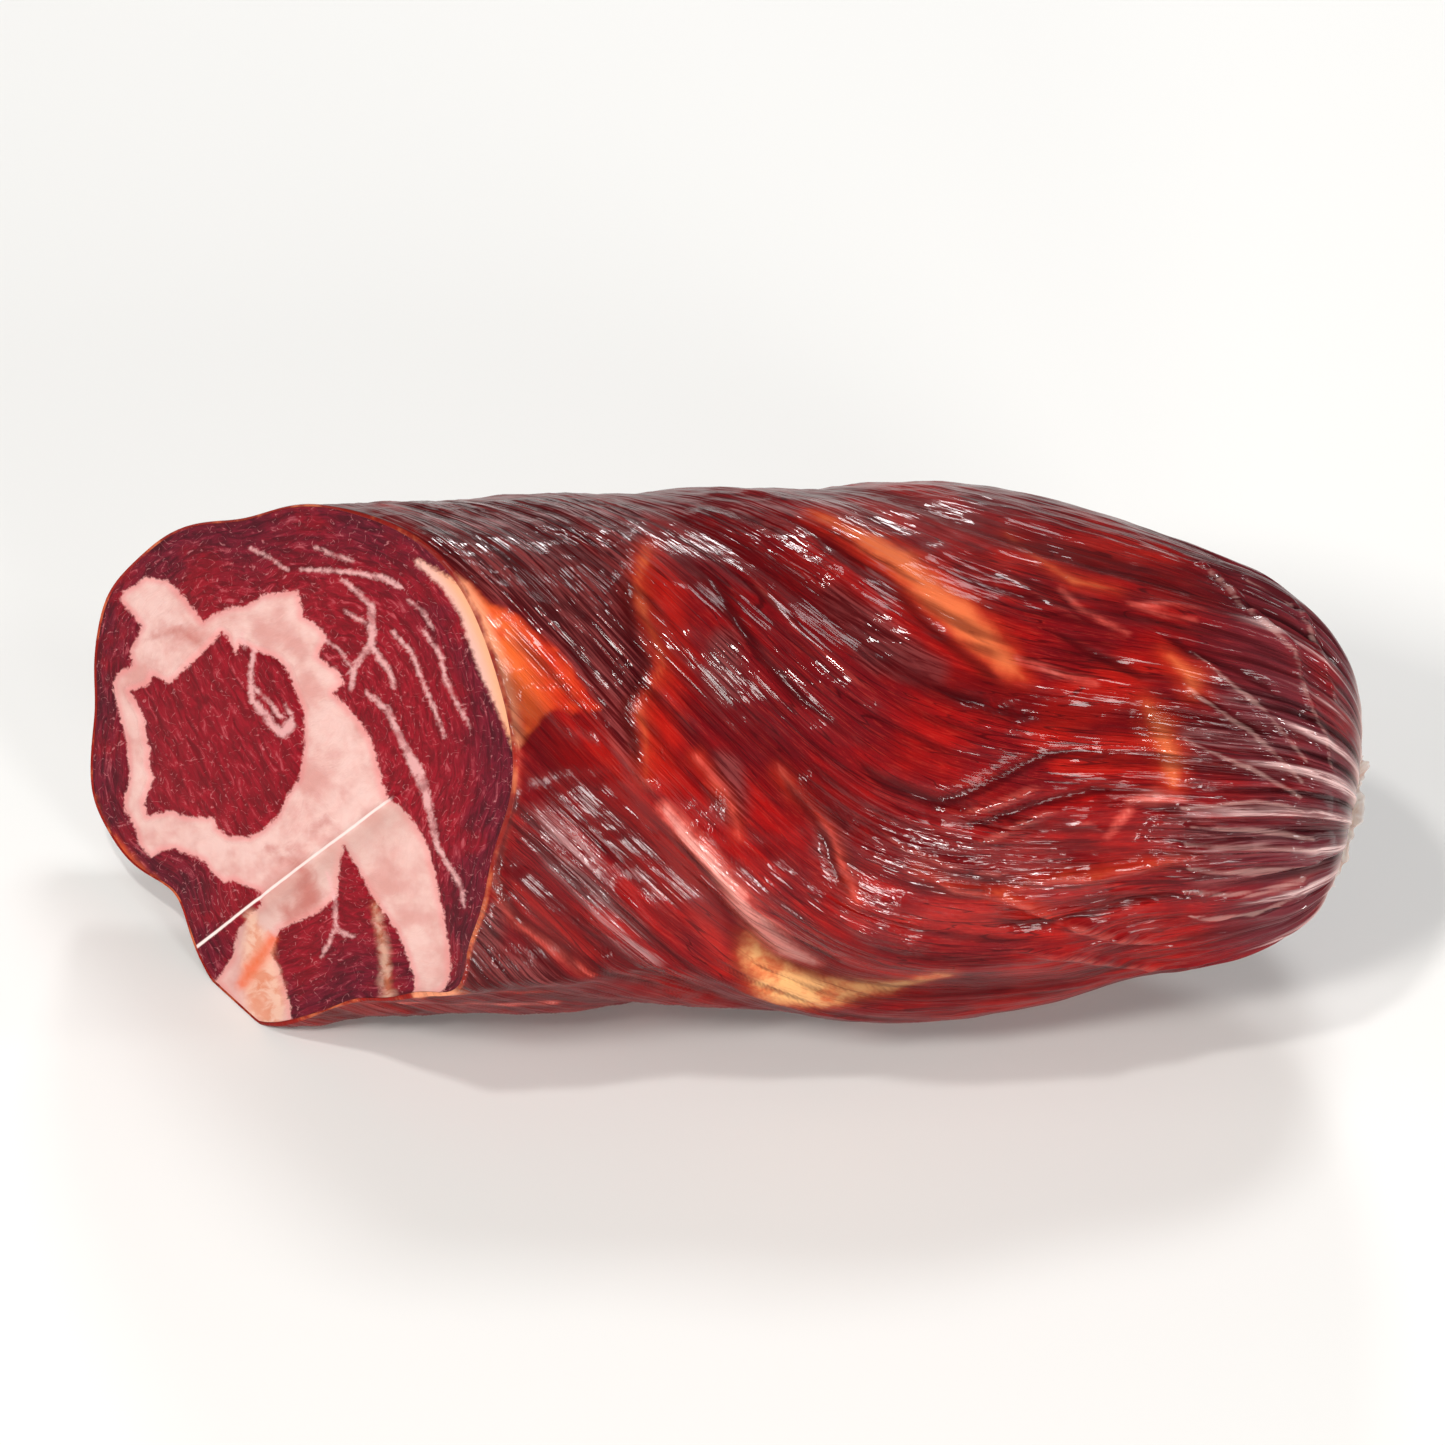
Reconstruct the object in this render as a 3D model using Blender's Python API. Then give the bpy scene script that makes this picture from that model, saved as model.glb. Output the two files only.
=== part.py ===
"""Half paio: a cured whole muscle of pork neck in a natural casing, cut across on the slant.

The piece is one solid. Its cut face is on the left, its tied end, gathered in pleats, on the right.
Sizes are millimetres in a working frame laid along the sausage: x runs from the far tip of the cut
to the tied end, u is up across the shown side, and f is forward, out of the shown side. The angle
round the sausage is 0 degrees at f and 90 degrees at u. At the end the shape is rolled about x to
the way it lies, pressed flat where it touches the table, and turned into metres.
"""

import math
import random

import bmesh
import bpy

MM = 0.001

# How the half lies: the shown side looks up and forward by this angle.
REST_ROLL = 40.0
# The table is this far under the sausage's axis, so that the lowest flesh is pressed flat.
TABLE_DROP = 38.2
# The hidden side swells where it lies on the table: angle, height and spread in degrees.
BELLY = (223.0, 2.1, 26.0)
BELLY_GROWS = (50.0, 85.0)
BELLY_ENDS = (125.0, 158.0)

# The trunk and the tied end, from left to right. Each station holds the distance along the skin, x,
# how far the centre is lifted, how far it lies back, the radius, and how far the ring leans in degrees.
STATIONS = (
    (-6.0, -6.0, 0.4, 0.0, 37.0, 0.0),
    (30.0, 30.0, 0.4, 0.0, 37.0, 0.0),
    (52.0, 52.0, 0.4, 0.0, 37.1, 0.0),
    (69.0, 69.0, 0.9, 0.0, 37.1, 0.0),
    (84.0, 84.0, 1.1, 0.0, 36.7, 0.0),
    (101.0, 101.0, 1.1, 0.0, 37.6, 0.0),
    (113.0, 113.0, 1.0, 0.0, 38.5, 0.0),
    (127.0, 127.0, 1.0, 0.0, 37.8, 0.0),
    (141.0, 141.0, 0.7, 0.0, 35.5, 0.0),
    (153.0, 153.0, 0.5, 0.0, 32.2, -1.0),
    (162.0, 162.1, -0.4, -0.1, 29.6, -1.5),
    (169.4, 169.7, -1.1, -0.3, 26.7, -2.5),
    (174.5, 174.4, -2.1, -0.6, 23.9, -4.0),
    (179.0, 177.9, -3.3, -1.0, 20.6, -6.0),
    (183.0, 180.4, -4.7, -1.4, 16.9, -8.0),
    (187.0, 181.6, -6.2, -1.8, 12.6, -10.0),
    (190.5, 180.7, -7.6, -2.1, 8.3, -13.0),
    (193.0, 179.3, -8.7, -2.3, 4.5, -15.0),
)
ALONG, X, LIFT, BACK, RADIUS, LEAN = range(6)
EVEN_FROM = 141.0  # past this x the rings stand square; before it they follow the slanted cut
END_TURN = 9.0  # degrees that the tied end looks away from the shown side
END_TURN_SPAN = (150.0, 190.0)  # where along the skin it turns

# The cut: a plane x = CUT_X + CUT_SLANT * f + CUT_LEAN * u, with a rounded rim.
CUT_X = 32.0
CUT_SLANT = 0.85
CUT_LEAN = -0.13
RIM_ROUND = 0.9
RIM_EASE = 6  # the power by which the face's relief dies away towards the rim

# Lobes of muscle that show in the outline of the cut: angle, height and spread in degrees.
CUT_LOBES = (
    (44.0, 2.8, 21.0),
    (98.0, -2.6, 15.0),
    (142.0, 1.0, 10.0),
    (169.0, -1.3, 10.0),
    (190.0, 0.9, 8.0),
    (219.0, -4.6, 11.0),
    (249.0, 4.3, 13.0),
    (277.0, -1.3, 8.0),
    (303.0, 3.2, 7.0),
    (335.0, -2.6, 16.0),
)
LOBE_REACH = 24.0  # how far behind the cut the lobes run out

# Two strokes of the knife met in a crease across the face, given by its two ends as (f, u).
CREASE_ENDS = ((-22.9, -27.8), (16.1, -5.5))
CREASE_FALL = 0.055  # how steeply the face falls away below the crease
CREASE_FADE = (0.75, 1.25)  # where the fall runs out, as shares of the crease's length
FACE_DOME = 0.7

# The muscle winds round the sausage and straightens out towards the tied end.
TWIST_PER_MM = 0.030
TWIST_END = 118.0
TWIST_END_SWAY = 9.0
TWIST_EASE = 9.0

# Seams and swells along the wound fibres: fibre angle, height, spread in degrees, first and last x.
SEAMS = (
    (139.0, 1.2, 9.0, 50.0, 150.0),
    (119.0, -1.3, 8.0, 44.0, 140.0),
    (96.0, 0.9, 9.0, 50.0, 135.0),
    (80.0, -1.0, 5.0, 56.0, 100.0),
    (170.0, -0.8, 7.0, 60.0, 150.0),
    (187.0, 0.7, 8.0, 70.0, 165.0),
    (214.0, -0.9, 7.0, 80.0, 168.0),
    (242.0, 0.8, 10.0, 40.0, 165.0),
    (270.0, -0.9, 8.0, 20.0, 160.0),
    (305.0, 0.8, 12.0, 20.0, 150.0),
    (331.0, -1.0, 7.0, 10.0, 150.0),
    (20.0, 0.7, 12.0, 20.0, 140.0),
    (45.0, -0.8, 7.0, 30.0, 140.0),
)
SEAM_RUN_OUT = 14.0
SEAM_AT_CUT = 0.35  # the share of a seam's height that is left at the cut
SEAM_FULL_RADIUS = 30.0  # a seam is lower where the sausage is thinner than this

# The casing is gathered at the tied end.
PLEATS = 24
PLEAT_HEIGHT = 1.25
PLEAT_SHARPNESS = 1.4
PLEAT_VALLEY = 0.35  # how far the valleys lie below the skin, as a share of a pleat's height
PLEAT_START = (146.0, 160.0)
PLEAT_RISE = 24.0
PLEAT_SWAY = 2.6
PLEAT_SEED = 7
END_PLEAT_SHARE = 0.11  # a pleat's most height as a share of the radius where it lies

# The casing's cut-off tail, a short ruffled frill past the tie: reach past the tie, and radius.
FRILL = ((0.7, 3.6), (1.5, 5.0), (2.2, 7.0), (2.7, 8.6), (3.1, 8.0), (2.8, 5.2), (2.5, 2.6))
FRILL_RIM = 8.6
FRILL_WAVES = 9
FRILL_WAVE_HEIGHT = 0.4

# The mesh: columns round the sausage, and rings from the middle of the cut to the tail.
SEGMENTS = 96
WINDING = 135.0  # degrees that the columns wind along the slanted part, to run with the muscle
FACE_SHARES = (0.13, 0.26, 0.39, 0.52, 0.64, 0.75, 0.85, 0.93, 0.975)
SLANTED_RINGS = 30
END_RINGS = 15
END_RING_FIRST = 144.0
END_RING_STEP = 3.5
SMOOTH_ANGLE = 50.0

MEAT_COLOUR = (0.235, 0.012, 0.014, 1.0)
MEAT_ROUGHNESS = 0.32


def wrapped(degrees):
    """The same angle between -180 and 180 degrees."""
    return (degrees + 180.0) % 360.0 - 180.0


def bump(offset, spread):
    """A smooth hump, 1 in the middle and nearly 0 past twice its spread."""
    return math.exp(-((offset / spread) ** 2))


def ramp(value, low, high):
    """0 at low, 1 at high, eased at both ends."""
    share = min(1.0, max(0.0, (value - low) / (high - low)))
    return share * share * (3.0 - 2.0 * share)


def station(along, column):
    """A column of STATIONS on the smooth curve through them, at a distance along the skin."""
    last = len(STATIONS) - 1
    i = 0
    while i < last - 1 and along > STATIONS[i + 1][ALONG]:
        i += 1
    here, there = STATIONS[i], STATIONS[i + 1]
    before, after = STATIONS[max(i - 1, 0)], STATIONS[min(i + 2, last)]
    span = there[ALONG] - here[ALONG]
    t = min(1.0, max(0.0, (along - here[ALONG]) / span))
    slope_here = (there[column] - before[column]) / (there[ALONG] - before[ALONG]) * span
    slope_there = (after[column] - here[column]) / (after[ALONG] - here[ALONG]) * span
    return (
        (2 * t**3 - 3 * t**2 + 1) * here[column]
        + (t**3 - 2 * t**2 + t) * slope_here
        + (3 * t**2 - 2 * t**3) * there[column]
        + (t**3 - t**2) * slope_there
    )


def fibre_angle(x, angle):
    """The wound fibre, in degrees, that passes through this place on the skin."""
    end = TWIST_END + TWIST_END_SWAY * math.sin(math.radians(angle))
    eased = TWIST_EASE * math.log(1.0 + math.exp((x - end) / TWIST_EASE))
    start = TWIST_EASE * math.log(1.0 + math.exp(-end / TWIST_EASE))
    return angle + math.degrees(TWIST_PER_MM * (x - eased + start))


def seam_relief(x, angle):
    """Height of the muscle seams, which follow the fibres."""
    fibre = fibre_angle(x, angle)
    height = 0.0
    for middle, tall, spread, first, last in SEAMS:
        run = ramp(x, first - SEAM_RUN_OUT, first + SEAM_RUN_OUT)
        run *= 1.0 - ramp(x, last - SEAM_RUN_OUT, last + SEAM_RUN_OUT)
        height += tall * run * bump(wrapped(fibre - middle), spread)
    return height


def make_pleats():
    """Each pleat's angle, first place along and height, unevenly spaced round the end."""
    draw = random.Random(PLEAT_SEED)
    step = 360.0 / PLEATS
    return [
        (
            i * step + draw.uniform(-PLEAT_SWAY, PLEAT_SWAY),
            draw.uniform(*PLEAT_START),
            PLEAT_HEIGHT * draw.uniform(0.6, 1.15),
        )
        for i in range(PLEATS)
    ]


PLEAT_LINES = make_pleats()


def pleat_relief(along, angle):
    """Height of the gathered pleats, narrow crests between rounded valleys."""
    half = 180.0 / PLEATS
    height = 0.0
    for middle, start, tall in PLEAT_LINES:
        offset = abs(wrapped(angle - middle)) / half
        if offset < 1.0:
            crest = (0.5 + 0.5 * math.cos(math.pi * offset)) ** PLEAT_SHARPNESS - PLEAT_VALLEY
            height += tall * crest * ramp(along, start, start + PLEAT_RISE)
    most = END_PLEAT_SHARE * station(along, RADIUS)
    return max(-most, min(most, height))


def cut_lobes(angle):
    """How far the cut's outline stands out of a true round."""
    return sum(tall * bump(wrapped(angle - middle), spread) for middle, tall, spread in CUT_LOBES)


def cut_plane(f, u):
    """The x of the knife's plane over a place on the section."""
    return CUT_X + CUT_SLANT * f + CUT_LEAN * u


def face_relief(f, u):
    """How far the cut face stands out of its plane, towards -x: a low dome and the crease."""
    (f0, u0), (f1, u1) = CREASE_ENDS
    length = math.hypot(f1 - f0, u1 - u0)
    below = ((f - f0) * (u1 - u0) - (u - u0) * (f1 - f0)) / length
    share = ((f - f0) * (f1 - f0) + (u - u0) * (u1 - u0)) / length**2
    fall = CREASE_FALL * max(0.0, below) * (1.0 - ramp(share, *CREASE_FADE))
    dome = FACE_DOME * (1.0 - min(1.0, (f * f + u * u) / station(0.0, RADIUS) ** 2))
    return dome - fall


def belly(x, angle):
    """How far the hidden side swells out over the table."""
    middle, tall, spread = BELLY
    run = ramp(x, *BELLY_GROWS) * (1.0 - ramp(x, *BELLY_ENDS))
    return tall * run * bump(wrapped(angle - middle), spread)


def around(x, radius, angle):
    """The f and u of a place at this radius round the axis, pressed in where it meets the table."""
    back, lift = station(x, BACK), station(x, LIFT)
    angle, roll = math.radians(angle), math.radians(REST_ROLL)
    fall = -math.sin(angle + roll)
    if fall > 0.0:
        radius = min(radius, (TABLE_DROP + back * math.sin(roll) + lift * math.cos(roll)) / fall)
    return back + radius * math.cos(angle), lift + radius * math.sin(angle)


def rim(angle):
    """The corner between the face and the skin, as (x, f, u)."""
    f, u = around(0.0, station(0.0, RADIUS) + cut_lobes(angle), angle)
    return cut_plane(f, u), f, u


def face_point(share, angle):
    """A place on the cut face, from its middle at share 0 to its rounded rim near 1."""
    _, rim_f, rim_u = rim(angle)
    f, u = share * rim_f, share * rim_u
    return cut_plane(f, u) - face_relief(f, u) * (1.0 - share**RIM_EASE), f, u


def slanted_point(share, angle):
    """A place on the skin between the cut's rim and the first square ring."""
    rim_x, _, _ = rim(angle)
    first = rim_x + RIM_ROUND
    x = first + (EVEN_FROM - first) * share
    behind = ramp(x - rim_x, 0.0, 2.0 * LOBE_REACH)
    radius = station(x, RADIUS) + cut_lobes(angle) * bump(x - rim_x, LOBE_REACH)
    radius += seam_relief(x, angle) * (SEAM_AT_CUT + (1.0 - SEAM_AT_CUT) * behind)
    return x, *around(x, radius + belly(x, angle), angle)


def ring_point(centre, lean, turn, radius, angle):
    """A place on a round ring whose plane leans down and turns away, in degrees."""
    x, f, u = centre
    forward = radius * math.cos(math.radians(angle))
    up = radius * math.sin(math.radians(angle))
    lean, turn = math.radians(lean), math.radians(turn)
    return (
        x - up * math.sin(lean) + forward * math.sin(turn),
        f + forward * math.cos(turn),
        u + up * math.cos(lean),
    )


def end_point(along, angle):
    """A place on the skin of the tied end."""
    smooth = station(along, RADIUS)
    radius = smooth + pleat_relief(along, angle)
    radius += seam_relief(station(along, X), angle) * min(1.0, smooth / SEAM_FULL_RADIUS)
    radius += belly(station(along, X), angle)
    centre = (station(along, X), station(along, BACK), station(along, LIFT))
    return ring_point(centre, station(along, LEAN), END_TURN * ramp(along, *END_TURN_SPAN), radius, angle)


def frill_point(reach, radius, angle):
    """A place on the casing's ruffled tail, past the tie."""
    tie = STATIONS[-1]
    lean = math.radians(tie[LEAN])
    out = reach + FRILL_WAVE_HEIGHT * math.sin(math.radians(FRILL_WAVES * angle)) * radius / FRILL_RIM
    centre = (tie[X] + out * math.cos(lean), tie[BACK], tie[LIFT] + out * math.sin(lean))
    return ring_point(centre, tie[LEAN], END_TURN, radius, angle)


def all_rings():
    """A function of the angle for each ring, from the middle of the cut to the tail."""
    rings = [lambda angle, share=share: face_point(share, angle) for share in FACE_SHARES]
    for i in range(SLANTED_RINGS):
        share = i / (SLANTED_RINGS - 1)
        rings.append(lambda angle, share=share: slanted_point(share, angle - WINDING * share))
    for i in range(END_RINGS):
        along = END_RING_FIRST + END_RING_STEP * i
        rings.append(lambda angle, along=along: end_point(along, angle - WINDING))
    for reach, radius in FRILL:
        rings.append(lambda angle, reach=reach, radius=radius: frill_point(reach, radius, angle - WINDING))
    return rings


def laid_down(place):
    """A place of the working frame as the half lies, pressed flat at the table, in millimetres."""
    x, f, u = place
    roll = math.radians(REST_ROLL)
    across = u * math.sin(roll) - f * math.cos(roll)
    high = f * math.sin(roll) + u * math.cos(roll)
    return x, across, max(0.0, high + TABLE_DROP)


def build_half_paio():
    """One closed solid, shaped from a globe whose poles are the cut's middle and the tail's end."""
    rings = all_rings()
    bands = len(rings) + 1
    mesh = bpy.data.meshes.new("half_paio")
    shape = bmesh.new()
    bmesh.ops.create_uvsphere(shape, u_segments=SEGMENTS, v_segments=bands, radius=1.0)
    for vertex in shape.verts:
        band = round(math.acos(max(-1.0, min(1.0, vertex.co.z))) / math.pi * bands)
        angle = math.degrees(math.atan2(vertex.co.y, vertex.co.x))
        if band == 0:
            place = face_point(0.0, 0.0)
        elif band == bands:
            place = frill_point(FRILL[-1][0], 0.0, 0.0)
        else:
            place = rings[band - 1](angle)
        vertex.co = laid_down(place)
    low = [min(vertex.co[axis] for vertex in shape.verts) for axis in range(3)]
    high = [max(vertex.co[axis] for vertex in shape.verts) for axis in range(3)]
    for vertex in shape.verts:
        vertex.co.x = (vertex.co.x - (low[0] + high[0]) / 2) * MM
        vertex.co.y = (vertex.co.y - (low[1] + high[1]) / 2) * MM
        vertex.co.z = vertex.co.z * MM
    bmesh.ops.triangulate(shape, faces=shape.faces[:], quad_method="FIXED")
    shape.to_mesh(mesh)
    shape.free()
    body = bpy.data.objects.new("half_paio", mesh)
    bpy.context.scene.collection.objects.link(body)
    mesh.shade_smooth()
    mesh.set_sharp_from_angle(angle=math.radians(SMOOTH_ANGLE))
    return body


def cured_meat():
    """Dark red cured pork under a glossy casing."""
    material = bpy.data.materials.new("cured_meat")
    material.use_nodes = True
    surface = material.node_tree.nodes["Principled BSDF"]
    surface.inputs["Base Color"].default_value = MEAT_COLOUR
    surface.inputs["Roughness"].default_value = MEAT_ROUGHNESS
    surface.inputs["Metallic"].default_value = 0.0
    return material


for old in list(bpy.data.objects):
    bpy.data.objects.remove(old, do_unlink=True)
half_paio = build_half_paio()
half_paio.data.materials.append(cured_meat())
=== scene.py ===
"""Half paio: the look of a cured whole pork neck in its casing, cut on the slant and tied off at one end.

Sizes are millimetres in a working frame laid along the sausage, turned into metres at the end of each
piece: x runs from the far tip of the cut to the tied end, u is up across the shown side, and f is
forward, out of the shown side. The angle round the sausage is 0 degrees at f and 90 degrees at u.
"""

import math
import random

import bpy
import numpy as np
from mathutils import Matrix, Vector, noise


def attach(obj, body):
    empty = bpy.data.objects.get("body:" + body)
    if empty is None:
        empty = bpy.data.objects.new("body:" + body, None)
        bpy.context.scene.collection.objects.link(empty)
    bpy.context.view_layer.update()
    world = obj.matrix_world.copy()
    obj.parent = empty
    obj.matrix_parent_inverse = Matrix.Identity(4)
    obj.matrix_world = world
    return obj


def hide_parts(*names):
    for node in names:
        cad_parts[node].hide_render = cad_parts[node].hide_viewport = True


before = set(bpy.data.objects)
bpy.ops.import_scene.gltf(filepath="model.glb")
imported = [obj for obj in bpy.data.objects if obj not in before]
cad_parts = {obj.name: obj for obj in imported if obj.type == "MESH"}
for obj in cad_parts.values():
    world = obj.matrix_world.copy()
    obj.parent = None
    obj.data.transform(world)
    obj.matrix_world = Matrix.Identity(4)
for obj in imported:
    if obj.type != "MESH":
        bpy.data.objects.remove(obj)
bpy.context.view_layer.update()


# The floor: a plain tabletop of pale matt board, level with the underside of the sausage and wide
# enough that its edges stay out of view.
FLOOR_SIZE = 8.0
FLOOR_COLOUR = (0.76, 0.75, 0.73, 1.0)


def plug(node, sockets):
    """Gives a node's sockets their values, or links them where the value is a socket."""
    for name, value in sockets.items():
        if isinstance(value, bpy.types.NodeSocket):
            node.id_data.links.new(value, node.inputs[name])
        else:
            node.inputs[name].default_value = value


def new_look(name):
    """A new material with its node tree and its surface shader."""
    look = bpy.data.materials.new(name)
    look.use_nodes = True
    return look, look.node_tree, look.node_tree.nodes["Principled BSDF"]


bpy.ops.object.select_all(action="DESELECT")
bpy.ops.mesh.primitive_plane_add(size=FLOOR_SIZE)
floor = bpy.context.object
floor.name = "floor"
floor_look, tree, surface = new_look("pale_floor")
plug(surface, {"Base Color": FLOOR_COLOUR, "Roughness": 0.6})
floor.data.materials.append(floor_look)


# The camera: it looks at the shown side from 40 degrees above the table and from far away. The half
# has rolled as far round on the table, so the camera meets the working frame's f axis end on.
MM = 0.001
REST_ROLL = math.radians(40.0)
TABLE_DROP = 38.2
BOX_MIDDLE = (93.204, -0.013)
CAMERA_AWAY = 3.0
FRAME_WIDTH = 0.208
FRAME_MIDDLE = (92.8, 4.97)
SENSOR_WIDTH = 36.0


def laid_down(x, f, u):
    """Places of the working frame as the half lies on the table, in metres."""
    across = u * math.sin(REST_ROLL) - f * math.cos(REST_ROLL)
    high = f * math.sin(REST_ROLL) + u * math.cos(REST_ROLL) + TABLE_DROP
    return np.stack((x - BOX_MIDDLE[0], across - BOX_MIDDLE[1], np.maximum(high, 0.0)), axis=-1) * MM


frame_centre = laid_down(np.array(FRAME_MIDDLE[0]), np.array(0.0), np.array(FRAME_MIDDLE[1]))
camera_data = bpy.data.cameras.new("camera")
camera_data.sensor_width = SENSOR_WIDTH
camera_data.lens = SENSOR_WIDTH * CAMERA_AWAY / FRAME_WIDTH
camera_data.clip_end = 50.0
camera = bpy.data.objects.new("camera", camera_data)
bpy.context.scene.collection.objects.link(camera)
camera.location = (
    frame_centre[0],
    frame_centre[1] - CAMERA_AWAY * math.cos(REST_ROLL),
    frame_centre[2] + CAMERA_AWAY * math.sin(REST_ROLL),
)
camera.rotation_euler = (math.pi / 2 - REST_ROLL, 0.0, 0.0)
bpy.context.scene.camera = camera


# The studio light: square panels, given by place in metres, size, power in watts and colour. The wide
# ones light the shape, and the small ones, called sparks, give the wet casing its glints.
LAMPS = (
    ("key_light", (-0.60, -0.95, 1.15), 0.27, 13.0, (1.0, 0.98, 0.95)),
    ("top_light", (0.25, 0.65, 1.10), 0.27, 5.0, (0.96, 0.98, 1.0)),
    ("front_light", (0.70, -1.25, 0.60), 0.36, 8.0, (1.0, 0.99, 0.97)),
    ("left_light", (-1.30, -0.25, 0.55), 0.45, 3.5, (1.0, 0.99, 0.98)),
    ("high_spark", (-0.30, -0.45, 1.30), 0.10, 5.0, (1.0, 0.99, 0.97)),
    ("low_spark", (0.25, -1.35, 0.16), 0.20, 9.0, (1.0, 0.99, 0.97)),
    ("back_spark", (0.05, 1.20, 0.62), 0.16, 4.0, (0.98, 0.99, 1.0)),
    ("right_spark", (1.30, -0.30, 0.38), 0.12, 4.5, (1.0, 0.99, 0.98)),
)
LAMP_TARGET = Vector((0.0, 0.0, 0.04))
ROOM_COLOUR = (0.95, 0.97, 1.0, 1.0)
ROOM_STRENGTH = 0.11

for lamp_name, lamp_place, lamp_size, lamp_power, lamp_colour in LAMPS:
    lamp_data = bpy.data.lights.new(lamp_name, "AREA")
    lamp_data.shape = "SQUARE"
    lamp_data.size = lamp_size
    lamp_data.energy = lamp_power
    lamp_data.color = lamp_colour
    lamp = bpy.data.objects.new(lamp_name, lamp_data)
    bpy.context.scene.collection.objects.link(lamp)
    lamp.location = lamp_place
    aim = LAMP_TARGET - Vector(lamp_place)
    lamp.rotation_euler = aim.to_track_quat("-Z", "Y").to_euler()
studio = bpy.data.worlds.new("studio")
studio.use_nodes = True
plug(studio.node_tree.nodes["Background"], {"Color": ROOM_COLOUR, "Strength": ROOM_STRENGTH})
bpy.context.scene.world = studio
bpy.context.scene.view_settings.view_transform = "Standard"
bpy.context.scene.view_settings.look = "None"


# The skin: one muscle of pork neck in a natural casing, dried tight and dark, so that the fat and the
# wound fibres show through. The casing is open at the cut, where its edge stands round the meat, and
# gathered in pleats into the tie.

# The trunk's axis: each station's place along the sausage, the x of its middle, its lift and its shift
# backwards off the axis, its radius, and how far it leans, in degrees.
STATIONS = np.array((
    (-6.0, -6.0, 0.4, 0.0, 37.0, 0.0),
    (30.0, 30.0, 0.4, 0.0, 37.0, 0.0),
    (52.0, 52.0, 0.4, 0.0, 37.1, 0.0),
    (69.0, 69.0, 0.9, 0.0, 37.1, 0.0),
    (84.0, 84.0, 1.1, 0.0, 36.7, 0.0),
    (101.0, 101.0, 1.1, 0.0, 37.6, 0.0),
    (113.0, 113.0, 1.0, 0.0, 38.5, 0.0),
    (127.0, 127.0, 1.0, 0.0, 37.8, 0.0),
    (141.0, 141.0, 0.7, 0.0, 35.5, 0.0),
    (153.0, 153.0, 0.5, 0.0, 32.2, -1.0),
    (162.0, 162.1, -0.4, -0.1, 29.6, -1.5),
    (169.4, 169.7, -1.1, -0.3, 26.7, -2.5),
    (174.5, 174.4, -2.1, -0.6, 23.9, -4.0),
    (179.0, 177.9, -3.3, -1.0, 20.6, -6.0),
    (183.0, 180.4, -4.7, -1.4, 16.9, -8.0),
    (187.0, 181.6, -6.2, -1.8, 12.6, -10.0),
    (190.5, 180.7, -7.6, -2.1, 8.3, -13.0),
    (193.0, 179.3, -8.7, -2.3, 4.5, -15.0),
))
ALONG, X, LIFT, BACK, RADIUS, LEAN = range(6)
# The belly's middle, height and spread, in degrees, and where it rises and falls; the plane of the cut.
BELLY = (223.0, 2.1, 26.0)
BELLY_RISE, BELLY_FALL = (50.0, 85.0), (125.0, 158.0)
CUT_X, CUT_SLANT, CUT_LEAN = 32.0, 0.85, -0.13
# Lobes of the cut outline: each one's middle in degrees, its height in mm and its spread.
CUT_LOBES = (
    (44.0, 2.8, 21.0),
    (98.0, -2.6, 15.0),
    (142.0, 1.0, 10.0),
    (169.0, -1.3, 10.0),
    (190.0, 0.9, 8.0),
    (219.0, -4.6, 11.0),
    (249.0, 4.3, 13.0),
    (277.0, -1.3, 8.0),
    (303.0, 3.2, 7.0),
    (335.0, -2.6, 16.0),
)
LOBE_REACH = 24.0
# Furrows and swells between the muscles: middle, height, spread, and the x where each starts and ends.
SEAMS = (
    (139.0, 1.2, 9.0, 50.0, 150.0),
    (119.0, -1.3, 8.0, 44.0, 140.0),
    (96.0, 0.9, 9.0, 50.0, 135.0),
    (80.0, -1.0, 5.0, 56.0, 100.0),
    (170.0, -0.8, 7.0, 60.0, 150.0),
    (187.0, 0.7, 8.0, 70.0, 165.0),
    (214.0, -0.9, 7.0, 80.0, 168.0),
    (242.0, 0.8, 10.0, 40.0, 165.0),
    (270.0, -0.9, 8.0, 20.0, 160.0),
    (305.0, 0.8, 12.0, 20.0, 150.0),
    (331.0, -1.0, 7.0, 10.0, 150.0),
    (20.0, 0.7, 12.0, 20.0, 140.0),
    (45.0, -0.8, 7.0, 30.0, 140.0),
)
SEAM_FADE = 14.0
# The fibres wind round by this many radians a mm, up to an end that sways round the trunk.
FIBRE_WINDING = 0.030
FIBRE_END, FIBRE_SWAY, FIBRE_EASE = 118.0, 9.0, 9.0
# Pleats round the tie, in mm, and the draw that makes them uneven.
PLEAT_COUNT = 24
PLEAT_SEED = 7
PLEAT_HEIGHT = 1.25
PLEAT_RUN = 24.0
PLEAT_LIMIT = 0.11
# The mesh: how far its columns wind round with the fibres, and its rings from the cut to the tie.
SKIN_WINDING = 135.0
SKIN_COLUMNS = 420
SKIN_SLANTED_RINGS = 128
SKIN_END_RINGS = 86
SKIN_SLANTED_LAST = 141.0
SKIN_END_FIRST, SKIN_END_LAST = 141.7, 192.9
CASING_EDGE = 0.45
DRUM_RADIUS = 37.0
SMOOTH_ANGLE = math.radians(60.0)

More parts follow.
